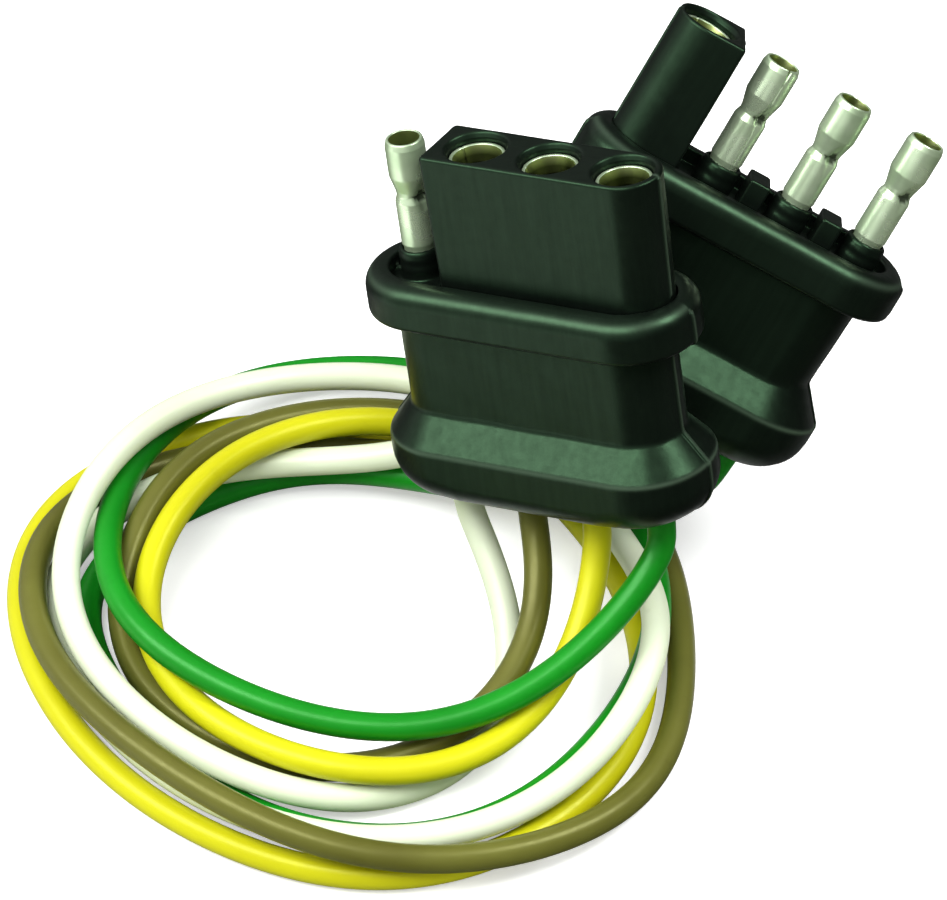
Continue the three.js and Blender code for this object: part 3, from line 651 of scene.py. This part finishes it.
# ------------------------------------------------------------------ wires
# Centre lines of the wires from the front flex line to the rear one: x, y, z in mm,
# before PATH_SHIFT moves them into the model frame.
WIRE_PATHS = {
    "white": [
    [13.65, 5.07, 15.92], [14.11, 4.19, 14.2], [14.81, 2.92, 12.82], [15.74, 1.14, 11.34],
    [16.76, -1.18, 9.73], [17.71, -4.08, 8.02], [18.5, -9.35, 5.44], [17.85, -14.86, 3.41],
    [15.48, -20.12, 2.13], [11.53, -24.49, 1.65], [6.52, -27.63, 1.85], [0.91, -29.36, 2.56],
    [-4.91, -29.56, 3.61], [-10.61, -28.3, 4.64], [-15.93, -25.82, 5.35], [-20.73, -22.36, 5.73],
    [-24.92, -18.17, 5.95], [-28.42, -13.39, 6.21], [-31.07, -8.11, 6.68], [-32.55, -2.44, 7.5],
    [-32.56, 3.36, 8.68], [-31.15, 8.98, 9.9], [-28.61, 14.27, 10.73], [-25.23, 19.14, 10.84],
    [-21.25, 23.48, 10.22], [-16.76, 27.2, 9.12], [-11.77, 30.16, 7.92], [-6.28, 32.17, 6.94],
    [-0.46, 33.07, 6.35], [5.46, 32.81, 6.11], [11.19, 31.34, 6.01], [16.44, 28.61, 5.83],
    [20.95, 24.78, 5.51], [24.66, 20.16, 5.25], [27.69, 15.07, 5.32], [30.23, 9.74, 5.9],
    [32.42, 4.32, 6.92], [34.21, -1.22, 8.07], [35.22, -7, 8.88], [34.89, -12.91, 8.98],
    [33.16, -18.54, 8.41], [30.34, -23.67, 7.5], [26.61, -28.16, 6.5], [22.08, -31.88, 5.63],
    [16.89, -34.66, 4.97], [11.23, -36.39, 4.57], [5.35, -37.06, 4.37], [-0.57, -36.69, 4.29],
    [-6.33, -35.3, 4.25], [-11.77, -32.96, 4.16], [-16.76, -29.76, 3.93], [-21.21, -25.86, 3.57],
    [-25.13, -21.42, 3.16], [-28.51, -16.57, 2.77], [-31.29, -11.34, 2.46], [-33.3, -5.76, 2.26],
    [-34.17, 0.09, 2.21], [-33.36, 5.94, 2.38], [-30.48, 11.05, 2.95], [-26.05, 14.85, 3.88],
    [-20.79, 17.42, 4.79], [-15.07, 18.89, 5.32], [-9.18, 19.47, 5.71], [-3.29, 19.32, 6.37],
    [2.45, 18.64, 7.69], [7.81, 17.73, 10.04], [12.45, 17.05, 13.64], [14.77, 16.91, 16.25],
    [16.53, 17, 18.68], [17.86, 17.27, 20.78], [18.87, 17.67, 22.46], [19.86, 18.32, 24.07],
    ],
    "brown": [
    [21.03, 1.23, 18.11], [21.3, 0.26, 16.4], [21.55, -1.19, 15.05], [21.75, -3.23, 13.63],
    [21.72, -5.81, 12.1], [21.27, -8.89, 10.49], [19.3, -13.99, 8.13], [15.88, -18.47, 6.22],
    [11.3, -21.94, 4.68], [5.89, -24.13, 3.46], [0.04, -24.79, 2.6], [-5.84, -23.95, 2.09],
    [-11.41, -21.85, 1.82], [-16.5, -18.74, 1.68], [-20.89, -14.7, 1.67], [-24.22, -9.77, 1.95],
    [-26.09, -4.18, 2.75], [-26.32, 1.61, 4.14], [-25.08, 7.16, 5.9], [-22.57, 12.29, 7.61],
    [-18.91, 16.87, 8.67], [-14.42, 20.79, 8.66], [-9.46, 24.01, 7.85], [-4.19, 26.55, 6.68],
    [1.36, 28.28, 5.35], [7.12, 29.02, 3.98], [12.95, 28.69, 2.78], [18.7, 27.3, 2],
    [24.14, 24.87, 1.69], [28.96, 21.37, 1.65], [32.84, 16.85, 1.67], [35.57, 11.55, 1.66],
    [37.23, 5.82, 1.65], [38.09, -0.09, 1.65], [38.38, -6.05, 1.65], [38.18, -12.02, 1.66],
    [37.35, -17.93, 1.75], [35.6, -23.63, 2], [32.68, -28.8, 2.46], [28.61, -33.11, 3.06],
    [23.72, -36.46, 3.7], [18.29, -38.87, 4.32], [12.54, -40.34, 4.94], [6.63, -40.81, 5.57],
    [0.73, -40.22, 6.2], [-4.98, -38.6, 6.77], [-10.36, -36.05, 7.15], [-15.35, -32.76, 7.27],
    [-19.94, -28.95, 7.12], [-24.17, -24.75, 6.75], [-28.04, -20.23, 6.27], [-31.46, -15.36, 5.79],
    [-34.23, -10.09, 5.4], [-36.1, -4.43, 5.16], [-36.74, 1.49, 4.99], [-35.88, 7.38, 4.7],
    [-33.42, 12.77, 4.18], [-29.59, 17.28, 3.47], [-24.81, 20.77, 2.77], [-19.42, 23.27, 2.23],
    [-13.65, 24.77, 1.95], [-7.71, 25.21, 2.02], [-1.8, 24.58, 2.52], [3.89, 23.1, 3.56],
    [9.25, 21.09, 5.24], [14.26, 18.96, 7.7], [18.89, 17.07, 10.95], [21.42, 16.22, 13.21],
    [23.47, 15.71, 15.33], [25.09, 15.55, 17.23], [26.3, 15.7, 18.81], [27.36, 16.26, 20.41],
    ],
    "yellow": [
    [28.4, -2.61, 20.31], [28.52, -3.48, 18.52], [28.41, -4.74, 16.97], [28.1, -6.51, 15.24],
    [27.51, -8.76, 13.35], [26.53, -11.48, 11.37], [24.09, -16.12, 8.58], [20.61, -20.51, 6.62],
    [16.1, -24.24, 5.6], [10.78, -26.85, 5.42], [4.98, -28.08, 5.72], [-0.94, -27.79, 6.08],
    [-6.63, -26.07, 6.16], [-11.76, -23.09, 5.9], [-16.17, -19.12, 5.46], [-19.72, -14.38, 5.06],
    [-22.24, -9, 4.98], [-23.38, -3.2, 5.48], [-22.92, 2.62, 6.56], [-20.91, 8.05, 7.89],
    [-17.64, 12.89, 8.98], [-13.44, 17.06, 9.46], [-8.6, 20.51, 9.23], [-3.36, 23.19, 8.42],
    [2.19, 24.95, 7.22], [7.94, 25.55, 5.81], [13.63, 24.68, 4.38], [18.86, 22.18, 3.14],
    [23.3, 18.33, 2.28], [26.92, 13.63, 1.82], [29.79, 8.43, 1.67], [31.98, 2.89, 1.65],
    [33.42, -2.88, 1.66], [33.98, -8.8, 1.65], [33.5, -14.73, 1.65], [31.87, -20.44, 1.65],
    [29.13, -25.71, 1.65], [25.42, -30.36, 1.65], [20.93, -34.26, 1.65], [15.83, -37.31, 1.65],
    [10.24, -39.32, 1.65], [4.35, -40.11, 1.65], [-1.58, -39.65, 1.66], [-7.32, -38.11, 1.69],
    [-12.76, -35.7, 1.72], [-17.84, -32.6, 1.72], [-22.51, -28.92, 1.7], [-26.72, -24.71, 1.68],
    [-30.39, -20.03, 1.66], [-33.46, -14.93, 1.65], [-35.88, -9.49, 1.65], [-37.55, -3.78, 1.65],
    [-38.28, 2.12, 1.65], [-37.81, 8.04, 1.65], [-35.92, 13.67, 1.65], [-32.64, 18.61, 1.65],
    [-28.25, 22.62, 1.65], [-23.14, 25.66, 1.66], [-17.58, 27.76, 1.68], [-11.75, 28.92, 1.71],
    [-5.8, 29.04, 1.71], [0.05, 27.98, 1.66], [5.57, 25.79, 1.7], [10.74, 22.89, 2.21],
    [15.7, 19.85, 3.46], [20.59, 17.17, 5.52], [25.41, 15.09, 8.31], [28.19, 14.2, 10.25],
    [30.51, 13.7, 12.08], [32.37, 13.52, 13.74], [33.74, 13.65, 15.19], [34.86, 14.2, 16.74],
    ],
    "green": [
    [35.77, -6.45, 22.51], [35.63, -7.31, 20.73], [34.85, -8.49, 19.32], [33.56, -10.04, 17.86],
    [31.77, -11.9, 16.33], [29.47, -14, 14.73], [25.15, -17.27, 12.38], [20.31, -20.02, 10.43],
    [14.96, -22.02, 8.93], [9.23, -23.06, 7.99], [3.34, -23.09, 7.62], [-2.49, -22.2, 7.69],
    [-8.13, -20.49, 8.01], [-13.47, -17.99, 8.38], [-18.36, -14.7, 8.63], [-22.56, -10.56, 8.68],
    [-25.73, -5.59, 8.55], [-27.58, -0, 8.35], [-28.06, 5.87, 8.1], [-27.34, 11.71, 7.78],
    [-25.67, 17.35, 7.3], [-23.19, 22.66, 6.56], [-19.94, 27.49, 5.61], [-15.9, 31.66, 4.55],
    [-11.06, 34.89, 3.59], [-5.57, 36.93, 2.93], [0.27, 37.67, 2.69], [6.14, 37.14, 2.9],
    [11.76, 35.46, 3.45], [16.96, 32.76, 4.16], [21.62, 29.2, 4.81], [25.67, 24.92, 5.18],
    [29.09, 20.11, 5.17], [31.87, 14.91, 4.86], [33.97, 9.4, 4.55], [35.26, 3.64, 4.51],
    [35.62, -2.24, 4.79], [34.97, -8.09, 5.17], [33.32, -13.76, 5.29], [30.76, -19.06, 4.96],
    [27.37, -23.84, 4.25], [23.23, -27.95, 3.37], [18.37, -31.2, 2.56], [12.93, -33.4, 2.01],
    [7.13, -34.46, 1.74], [1.24, -34.37, 1.66], [-4.54, -33.19, 1.65], [-9.98, -30.9, 1.65],
    [-14.88, -27.61, 1.65], [-19.16, -23.55, 1.65], [-22.87, -18.96, 1.65], [-26.06, -13.99, 1.65],
    [-28.64, -8.67, 1.66], [-30.24, -3, 1.7], [-30.09, 2.87, 1.78], [-27.74, 8.25, 1.79],
    [-23.86, 12.69, 1.71], [-19.21, 16.32, 1.65], [-14.03, 19.14, 1.8], [-8.39, 20.78, 2.3],
    [-2.56, 20.84, 3.12], [3.11, 19.55, 4.14], [8.53, 17.51, 5.27], [13.86, 15.23, 6.44],
    [19.24, 13.09, 7.58], [24.8, 11.4, 8.63], [30.56, 10.42, 9.48], [34.03, 10.28, 9.91],
    [37, 10.47, 10.32], [39.4, 10.88, 10.86], [41.13, 11.42, 11.69], [42.37, 12.14, 13.07],
    ],
}
PATH_SHIFT = np.array([-14.09, 1.099, -0.011])
LEAD_Z = np.array([-11.6, -15.0, -20.0, -25.0, -28.2])      # stations inside a connector
LEAD_LENGTH = 17.0      # from the flex line to the cut between lead and coil
FLEX_MARGIN = 6.0       # closely divided length on the connector side of the flex line
LEAD_ROWS = 18
FLEX_ROWS = 40
COIL_STEP = 1.05
WIRE_SEGMENTS = 28


def cubic(points, start_slope, end_slope):
    """Cubic spline through the points with given end slopes: (knots, points, slopes)."""
    gaps = np.linalg.norm(np.diff(points, axis=0), axis=1)
    knots = np.concatenate([[0], np.cumsum(gaps)])
    count = len(points)
    matrix = np.zeros((count, count))
    right = np.zeros((count, 3))
    matrix[0, 0] = matrix[-1, -1] = 1
    right[0], right[-1] = start_slope, end_slope
    for k in range(1, count - 1):
        before, after = gaps[k - 1], gaps[k]
        matrix[k, k - 1:k + 2] = after, 2 * (before + after), before
        right[k] = 3 * (after / before * (points[k] - points[k - 1])
                        + before / after * (points[k + 1] - points[k]))
    return knots, points, np.linalg.solve(matrix, right)


def sample(spline, lengths):
    """Points of the spline at the given lengths along it."""
    knots, points, slopes = spline
    k = np.clip(np.searchsorted(knots, lengths, side="right") - 1, 0, len(knots) - 2)
    gap = (knots[k + 1] - knots[k])[:, None]
    t = (lengths - knots[k])[:, None] / gap
    return ((2 * t**3 - 3 * t**2 + 1) * points[k] + (t**3 - 2 * t**2 + t) * gap * slopes[k]
            + (-2 * t**3 + 3 * t**2) * points[k + 1] + (t**3 - t**2) * gap * slopes[k + 1])


def cross_axes(points):
    """Two axes square to the path at each point, carried along without twist."""
    tangents = np.gradient(points, axis=0)
    tangents /= row_lengths(tangents)
    normals = np.zeros_like(tangents)
    carried = np.array([0.0, 0.0, 1.0] if abs(tangents[0, 2]) < 0.9 else [1.0, 0.0, 0.0])
    for k, tangent in enumerate(tangents):
        carried = unit(carried - tangent * (carried @ tangent))
        normals[k] = carried
    return normals, np.cross(tangents, normals)


def tube(name, points, normals, binormals, material):
    """Closed tube with a bore and square ends."""
    rows, columns = len(points), WIRE_SEGMENTS
    angles = 2 * math.pi * np.arange(columns) / columns
    spokes = (np.cos(angles)[None, :, None] * normals[:, None, :]
              + np.sin(angles)[None, :, None] * binormals[:, None, :])
    vertices = np.concatenate([(points[:, None, :] + radius * spokes).reshape(-1, 3)
                               for radius in (WIRE_RADIUS, BORE_RADIUS)]) * MM
    bore = rows * columns
    # the tube is open, so the closing row of quads goes; this order faces out
    wall = ring_quads(rows, columns)[:-columns, [0, 3, 2, 1]]
    column = np.arange(columns)
    beside = (column + 1) % columns
    start = np.stack([column, beside, bore + beside, bore + column], 1)
    end = start + (rows - 1) * columns
    faces = np.concatenate([wall, wall[:, ::-1] + bore, start[:, ::-1], end])
    return make_object(name, vertices, faces, [material], sharp=60)


def wire_stations(knots, front_flex, rear_flex, front_cut, rear_cut):
    """Lengths along a wire at which its rings stand."""
    front_dense, rear_dense = front_flex - FLEX_MARGIN, rear_flex + FLEX_MARGIN
    coil_rows = int((rear_cut - front_cut) / COIL_STEP)
    return np.concatenate([
        np.linspace(0, front_dense, LEAD_ROWS)[:-1],
        np.linspace(front_dense, front_cut, FLEX_ROWS)[:-1],
        np.linspace(front_cut, rear_cut, coil_rows)[:-1],
        np.linspace(rear_cut, rear_dense, FLEX_ROWS)[:-1],
        np.linspace(rear_dense, knots[-1], LEAD_ROWS)])


def build_wire(way, colour):
    """One wire as three tubes: the front lead, the coil and the rear lead."""
    lead_points = np.stack([wire_x(way, LEAD_Z), 0 * LEAD_Z, LEAD_Z], 1)
    front, rear = (to_world(kind, lead_points) / MM for kind in ("front", "rear"))
    path = np.array(WIRE_PATHS[colour], float) + PATH_SHIFT
    through = np.concatenate([front, path, rear[::-1]])
    spline = cubic(through, unit(through[1] - through[0]), unit(through[-1] - through[-2]))
    knots = spline[0]
    front_flex = knots[len(front)]
    rear_flex = knots[len(front) + len(path) - 1]
    front_cut, rear_cut = front_flex + LEAD_LENGTH, rear_flex - LEAD_LENGTH
    stations = wire_stations(knots, front_flex, rear_flex, front_cut, rear_cut)
    points = sample(spline, stations)
    normals, binormals = cross_axes(points)
    first = int(np.argmin(np.abs(stations - front_cut)))
    last = int(np.argmin(np.abs(stations - rear_cut)))
    parts = {"front": slice(0, first + 1), "coil": slice(first, last + 1),
             "rear": slice(last, len(stations))}
    for part, rows in parts.items():
        piece = tube(f"{part}_{colour}_wire", points[rows], normals[rows], binormals[rows],
                     MAT[colour])
        if part == "coil":
            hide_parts(f"coil_{colour}_jacket")
            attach(piece, "wire_coil")
        else:
            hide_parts(f"{part}_{colour}_lead")
            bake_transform(piece)


# ------------------------------------------------------------------ shader helpers
def plug(tree, node, inputs):
    """Links or sets the node's inputs, by name or number; colours are given as RGB."""
    for key, value in inputs.items():
        socket = node.inputs[key]
        if isinstance(value, bpy.types.NodeSocket):
            tree.links.new(value, socket)
        elif socket.type == "RGBA":
            socket.default_value = (*value, 1.0)
        else:
            socket.default_value = value


def add(tree, kind, inputs={}, **settings):
    node = tree.nodes.new("ShaderNode" + kind)
    for key, value in settings.items():
        setattr(node, key, value)
    plug(tree, node, inputs)
    return node


def new_material(name):
    """Material with only a Principled shader: (material, tree, shader, object coordinates)."""
    material = bpy.data.materials.new(name)
    material.use_nodes = True
    tree = material.node_tree
    tree.nodes.clear()
    output = add(tree, "OutputMaterial")
    shader = add(tree, "BsdfPrincipled")
    tree.links.new(shader.outputs[0], output.inputs[0])
    return material, tree, shader, add(tree, "TexCoord").outputs["Object"]


def noise(tree, coords, scale, detail, roughness=0.55):
    inputs = {"Vector": coords, "Scale": scale, "Detail": detail, "Roughness": roughness}
    return add(tree, "TexNoise", inputs).outputs["Fac"]


def ramp(tree, factor, low, high):
    """Colour ramp between two (position, colour) stops."""
    node = add(tree, "ValToRGB", {"Fac": factor})
    for element, (position, colour) in zip(node.color_ramp.elements, (low, high)):
        element.position = position
        element.color = (*colour, 1.0)
    return node.outputs["Color"]


def map_range(tree, value, source, target):
    inputs = {"Value": value, "From Min": source[0], "From Max": source[1],
              "To Min": target[0], "To Max": target[1]}
    return add(tree, "MapRange", inputs).outputs["Result"]


def bump(tree, height, strength, distance, normal=None):
    inputs = {"Height": height, "Strength": strength, "Distance": distance}
    if normal is not None:
        inputs["Normal"] = normal
    return add(tree, "Bump", inputs).outputs["Normal"]


def mix(tree, factor, first, second):
    inputs = {0: factor, 6: first, 7: second}
    return add(tree, "Mix", inputs, data_type="RGBA").outputs[2]


def attribute(tree, name, output="Fac"):
    return add(tree, "Attribute", attribute_name=name).outputs[output]


def scaled(colour, factor):
    return tuple(factor * channel for channel in colour)


# ------------------------------------------------------------------ materials
def rubber_material(name, roughness):
    material, tree, shader, coords = new_material(name)
    cloud = noise(tree, coords, scale=90.0, detail=3.0)
    grain = noise(tree, coords, scale=2600.0, detail=3.0, roughness=0.6)
    speck = noise(tree, coords, scale=900.0, detail=2.0)
    base = ramp(tree, cloud, (0.3, (0.0020, 0.0030, 0.0023)), (0.7, (0.0032, 0.0046, 0.0036)))
    # painted highlight: the edges that the attribute marks are painted a little lighter
    base = mix(tree, attribute(tree, "painted_highlight"), base, (0.075, 0.115, 0.078))
    # faint streaks along the draw of the mould
    squash = add(tree, "VectorMath", {0: attribute(tree, "local", "Vector"), 1: (1.1, 1.1, 0.09)},
                 operation="MULTIPLY")
    streak = noise(tree, squash.outputs[0], scale=1.0, detail=3.0, roughness=0.6)
    fine = bump(tree, grain, strength=0.16, distance=0.00004)
    plug(tree, shader, {
        "Base Color": base,
        "Roughness": map_range(tree, speck, (0.3, 0.7), roughness),
        "Specular IOR Level": map_range(tree, streak, (0.32, 0.68), (0.295, 0.365)),
        "Specular Tint": (0.47, 1.0, 0.53),
        "Normal": bump(tree, speck, strength=0.05, distance=0.00012, normal=fine),
    })
    return material


def wire_material(name, light, dark, tint):
    material, tree, shader, coords = new_material(name)
    cloud = noise(tree, coords, scale=60.0, detail=3.0)
    fine = noise(tree, coords, scale=1400.0, detail=3.0, roughness=0.6)
    base = ramp(tree, cloud, (0.32, dark), (0.68, light))
    scuff = noise(tree, coords, scale=420.0, detail=5.0, roughness=0.65)
    scuff = map_range(tree, scuff, (0.62, 0.80), (0.0, 0.35))
    dimple = noise(tree, coords, scale=260.0, detail=2.0)
    skin = bump(tree, fine, strength=0.10, distance=0.00005)
    plug(tree, shader, {
        "Base Color": mix(tree, scuff, base, scaled(dark, 0.75)),
        "Roughness": map_range(tree, fine, (0.3, 0.7), (0.28, 0.40)),
        "Specular IOR Level": 0.5,
        "Specular Tint": tint,
        "Subsurface Weight": 0.12,
        "Subsurface Radius": (0.0006, 0.0006, 0.0004),
        "Subsurface Scale": 1.0,
        "Normal": bump(tree, dimple, strength=0.12, distance=0.0004, normal=skin),
    })
    return material


def metal_material(name, light, dark, roughness, metallic=1.0):
    """Stained metal, rougher where it is darker."""
    material, tree, shader, coords = new_material(name)
    stain = noise(tree, coords, scale=260.0, detail=2.0, roughness=0.5)
    fine = noise(tree, coords, scale=3200.0, detail=2.0, roughness=0.5)
    base = ramp(tree, stain, (0.34, dark), (0.62, light))
    dimple = noise(tree, coords, scale=240.0, detail=1.0)
    skin = bump(tree, fine, strength=0.04, distance=0.00001)
    plug(tree, shader, {
        # painted shade: faces deep in the bores are mixed towards a dark tin colour
        "Base Color": mix(tree, attribute(tree, "painted_bore_shade"), base, scaled(dark, 0.22)),
        "Metallic": metallic,
        "Roughness": map_range(tree, stain, (0.3, 0.7), roughness[::-1]),
        "Normal": bump(tree, dimple, strength=0.06, distance=0.0001, normal=skin),
    })
    return material


MAT = {
    "rubber": rubber_material("moulded_rubber", roughness=(0.30, 0.38)),
    "rubber_block": rubber_material("moulded_rubber_block", roughness=(0.32, 0.40)),
    "white": wire_material("white_pvc", light=(0.69, 0.76, 0.58), dark=(0.63, 0.70, 0.51),
                           tint=(1.0, 1.0, 0.9)),
    "brown": wire_material("brown_pvc", light=(0.118, 0.122, 0.022),
                           dark=(0.080, 0.080, 0.013), tint=(0.90, 0.90, 0.42)),
    "yellow": wire_material("yellow_pvc", light=(0.58, 0.57, 0.008), dark=(0.52, 0.50, 0.006),
                            tint=(0.95, 1.0, 0.35)),
    "green": wire_material("green_pvc", light=(0.0045, 0.225, 0.009),
                           dark=(0.003, 0.165, 0.006), tint=(0.42, 1.0, 0.46)),
    "tin": metal_material("tinned_outside", light=(0.70, 0.86, 0.60), dark=(0.50, 0.66, 0.42),
                          roughness=(0.25, 0.34), metallic=0.74),
    # painted shade: the inside faces of the contacts get a darker, olive copy of the tin
    "tin_in": metal_material("tinned_inside", light=(0.46, 0.54, 0.22),
                             dark=(0.26, 0.32, 0.10), roughness=(0.30, 0.5)),
    "copper": metal_material("copper_strands", light=(0.80, 0.44, 0.26),
                             dark=(0.55, 0.28, 0.16), roughness=(0.3, 0.45)),
}

# ------------------------------------------------------------------ build
for kind in ("front", "rear"):
    build_housing(kind)
    for way, colour in enumerate(COLOURS):
        build_contact(kind, way, colour)
for way, colour in enumerate(COLOURS):
    build_wire(way, colour)
for name, node in frame["nodes"].items():
    if name.endswith("_core"):
        node.data.materials.clear()
        node.data.materials.append(MAT["copper"])


# ------------------------------------------------------------------ floor, light, camera
def floor_material():
    material, tree, shader, coords = new_material("pale_floor")
    pale = ramp(tree, noise(tree, coords, scale=6.0, detail=3.0),
                (0.2, (0.90, 0.905, 0.90)), (0.8, (0.93, 0.935, 0.93)))

    def maths(operation, first, second):
        return add(tree, "Math", {0: first, 1: second}, operation=operation).outputs[0]

    # painted reflection and shade: to glossy rays the floor is painted bright only towards -x, -y and
    # right under the front connector; the rest is painted falling off to dark, as beside dark studio walls
    place = add(tree, "SeparateXYZ", {0: coords}).outputs
    lean = maths("SUBTRACT", place["Y"], place["X"])
    fall = map_range(tree, lean, (-0.055, -0.012), (0.05, 1.0))
    far = add(tree, "VectorMath", {0: coords}, operation="LENGTH").outputs["Value"]
    fall = maths("MULTIPLY", fall, map_range(tree, far, (0.035, 0.10), (0.16, 0.80)))
    fall = maths("MULTIPLY", fall, map_range(tree, place["Y"], (-0.015, 0.05), (1.0, 0.06)))
    off = add(tree, "VectorMath", {0: coords, 1: (0.009, 0.006, 0.0)}, operation="DISTANCE")
    patch = map_range(tree, off.outputs["Value"], (0.019, 0.031), (0.75, 0.0))
    fall = maths("MAXIMUM", fall, patch)
    ray = add(tree, "LightPath").outputs
    seen = mix(tree, ray["Is Glossy Ray"], pale, mix(tree, fall, (0.0, 0.0, 0.0), pale))
    # lifts the shadows the camera sees, as a lit table does
    glow = map_range(tree, far, (0.12, 0.45), (0.42, 1.0))
    plug(tree, shader, {
        # it throws only a little light back under the wires
        "Base Color": mix(tree, ray["Is Diffuse Ray"], seen, (0.40, 0.43, 0.28)),
        "Roughness": 0.9,
        "Specular IOR Level": 0.1,
        "Emission Color": (1.0, 1.0, 1.0),
        "Emission Strength": maths("MULTIPLY", ray["Is Camera Ray"], glow),
    })
    return material


def build_floor(half_side=6.0, gap=0.00015):
    """Square floor just under the lowest point of the product, m."""
    mesh = bpy.data.meshes.new("floor")
    corners = [(half_side * x, half_side * y, 0) for x, y in ((-1, -1), (1, -1), (1, 1), (-1, 1))]
    mesh.from_pydata(corners, [], [(0, 1, 2, 3)])
    floor = bpy.data.objects.new("floor", mesh)
    floor.location.z = CAD_BOX[0].z - gap
    bpy.context.scene.collection.objects.link(floor)
    mesh.materials.append(floor_material())


def build_world():
    """White to the camera, grey to diffuse rays, bright only up at -x in reflections."""
    world = bpy.data.worlds.new("studio")
    bpy.context.scene.world = world
    world.use_nodes = True
    tree = world.node_tree
    tree.nodes.clear()
    output = add(tree, "OutputWorld")
    background = add(tree, "Background", {"Strength": 1.0})
    tree.links.new(background.outputs[0], output.inputs[0])
    ray = add(tree, "LightPath").outputs
    direction = add(tree, "TexCoord").outputs["Generated"]
    facing = add(tree, "VectorMath", {0: direction, 1: tuple(unit((-0.7, -0.1, 0.7)))},
                 operation="DOT_PRODUCT").outputs["Value"]
    level = map_range(tree, facing, (0.0, 0.9), (0.03, 0.95))
    glossy = add(tree, "CombineColor", {0: level, 1: level, 2: level}).outputs[0]
    colour = mix(tree, ray["Is Glossy Ray"], (0.50, 0.50, 0.50), glossy)
    colour = mix(tree, ray["Is Camera Ray"], colour, (1.0, 1.0, 1.0))
    plug(tree, background, {"Color": colour})


def area_light(name, direction, distance, size, energy, colour=(1.0, 1.0, 1.0), rotation=None):
    """Rectangular light facing the middle of the product, seen from it in the direction."""
    light = bpy.data.lights.new(name, "AREA")
    light.shape = "RECTANGLE"
    light.size, light.size_y = size
    light.energy = energy
    light.color = colour
    lamp = bpy.data.objects.new(name, light)
    direction = Vector(direction).normalized()
    centre = (Vector(CAD_BOX[0]) + Vector(CAD_BOX[1])) / 2
    lamp.location = centre + direction * distance
    if rotation is None:
        rotation = (-direction).to_track_quat("-Z", "Y")
    lamp.rotation_euler = rotation.to_euler()
    bpy.context.scene.collection.objects.link(lamp)
    return lamp


def build_lights():
    # the key is one long softbox that runs from low at -x up to overhead
    low_end = Vector((-0.80, -0.01, 0.60)).normalized()
    high_end = Vector((-0.19, -0.40, 0.896)).normalized()
    middle = (low_end * 0.55 + high_end * 0.45).normalized()
    along = high_end - low_end
    along = (along - middle * along.dot(middle)).normalized()
    across = middle.cross(along)
    area_light("key", middle, distance=0.75, size=(0.87, 0.36), energy=8.4,
               colour=(1.0, 1.0, 0.99), rotation=Matrix((along, across, middle)).transposed())
    area_light("top", (0.58, 0.03, 0.81), distance=0.95, size=(0.36, 0.36), energy=6.5)
    fill = area_light("fill", (0.15, -0.55, 0.85), distance=1.1, size=(0.7, 0.7), energy=1.4)
    fill.visible_glossy = False


def build_camera():
    lens = bpy.data.cameras.new("camera")
    lens.sensor_width = 36.0
    lens.lens = 304.12
    lens.clip_start, lens.clip_end = 0.05, 50.0
    camera = bpy.data.objects.new("camera", lens)
    camera.location = (0.0002724, -0.618945, 0.693893)
    camera.rotation_euler = (math.radians(43.0), 0.0, 0.0)
    bpy.context.scene.collection.objects.link(camera)
    bpy.context.scene.camera = camera


build_floor()
build_world()
build_lights()
build_camera()
bpy.context.scene.view_settings.view_transform = "Standard"
bpy.context.scene.view_settings.look = "None"
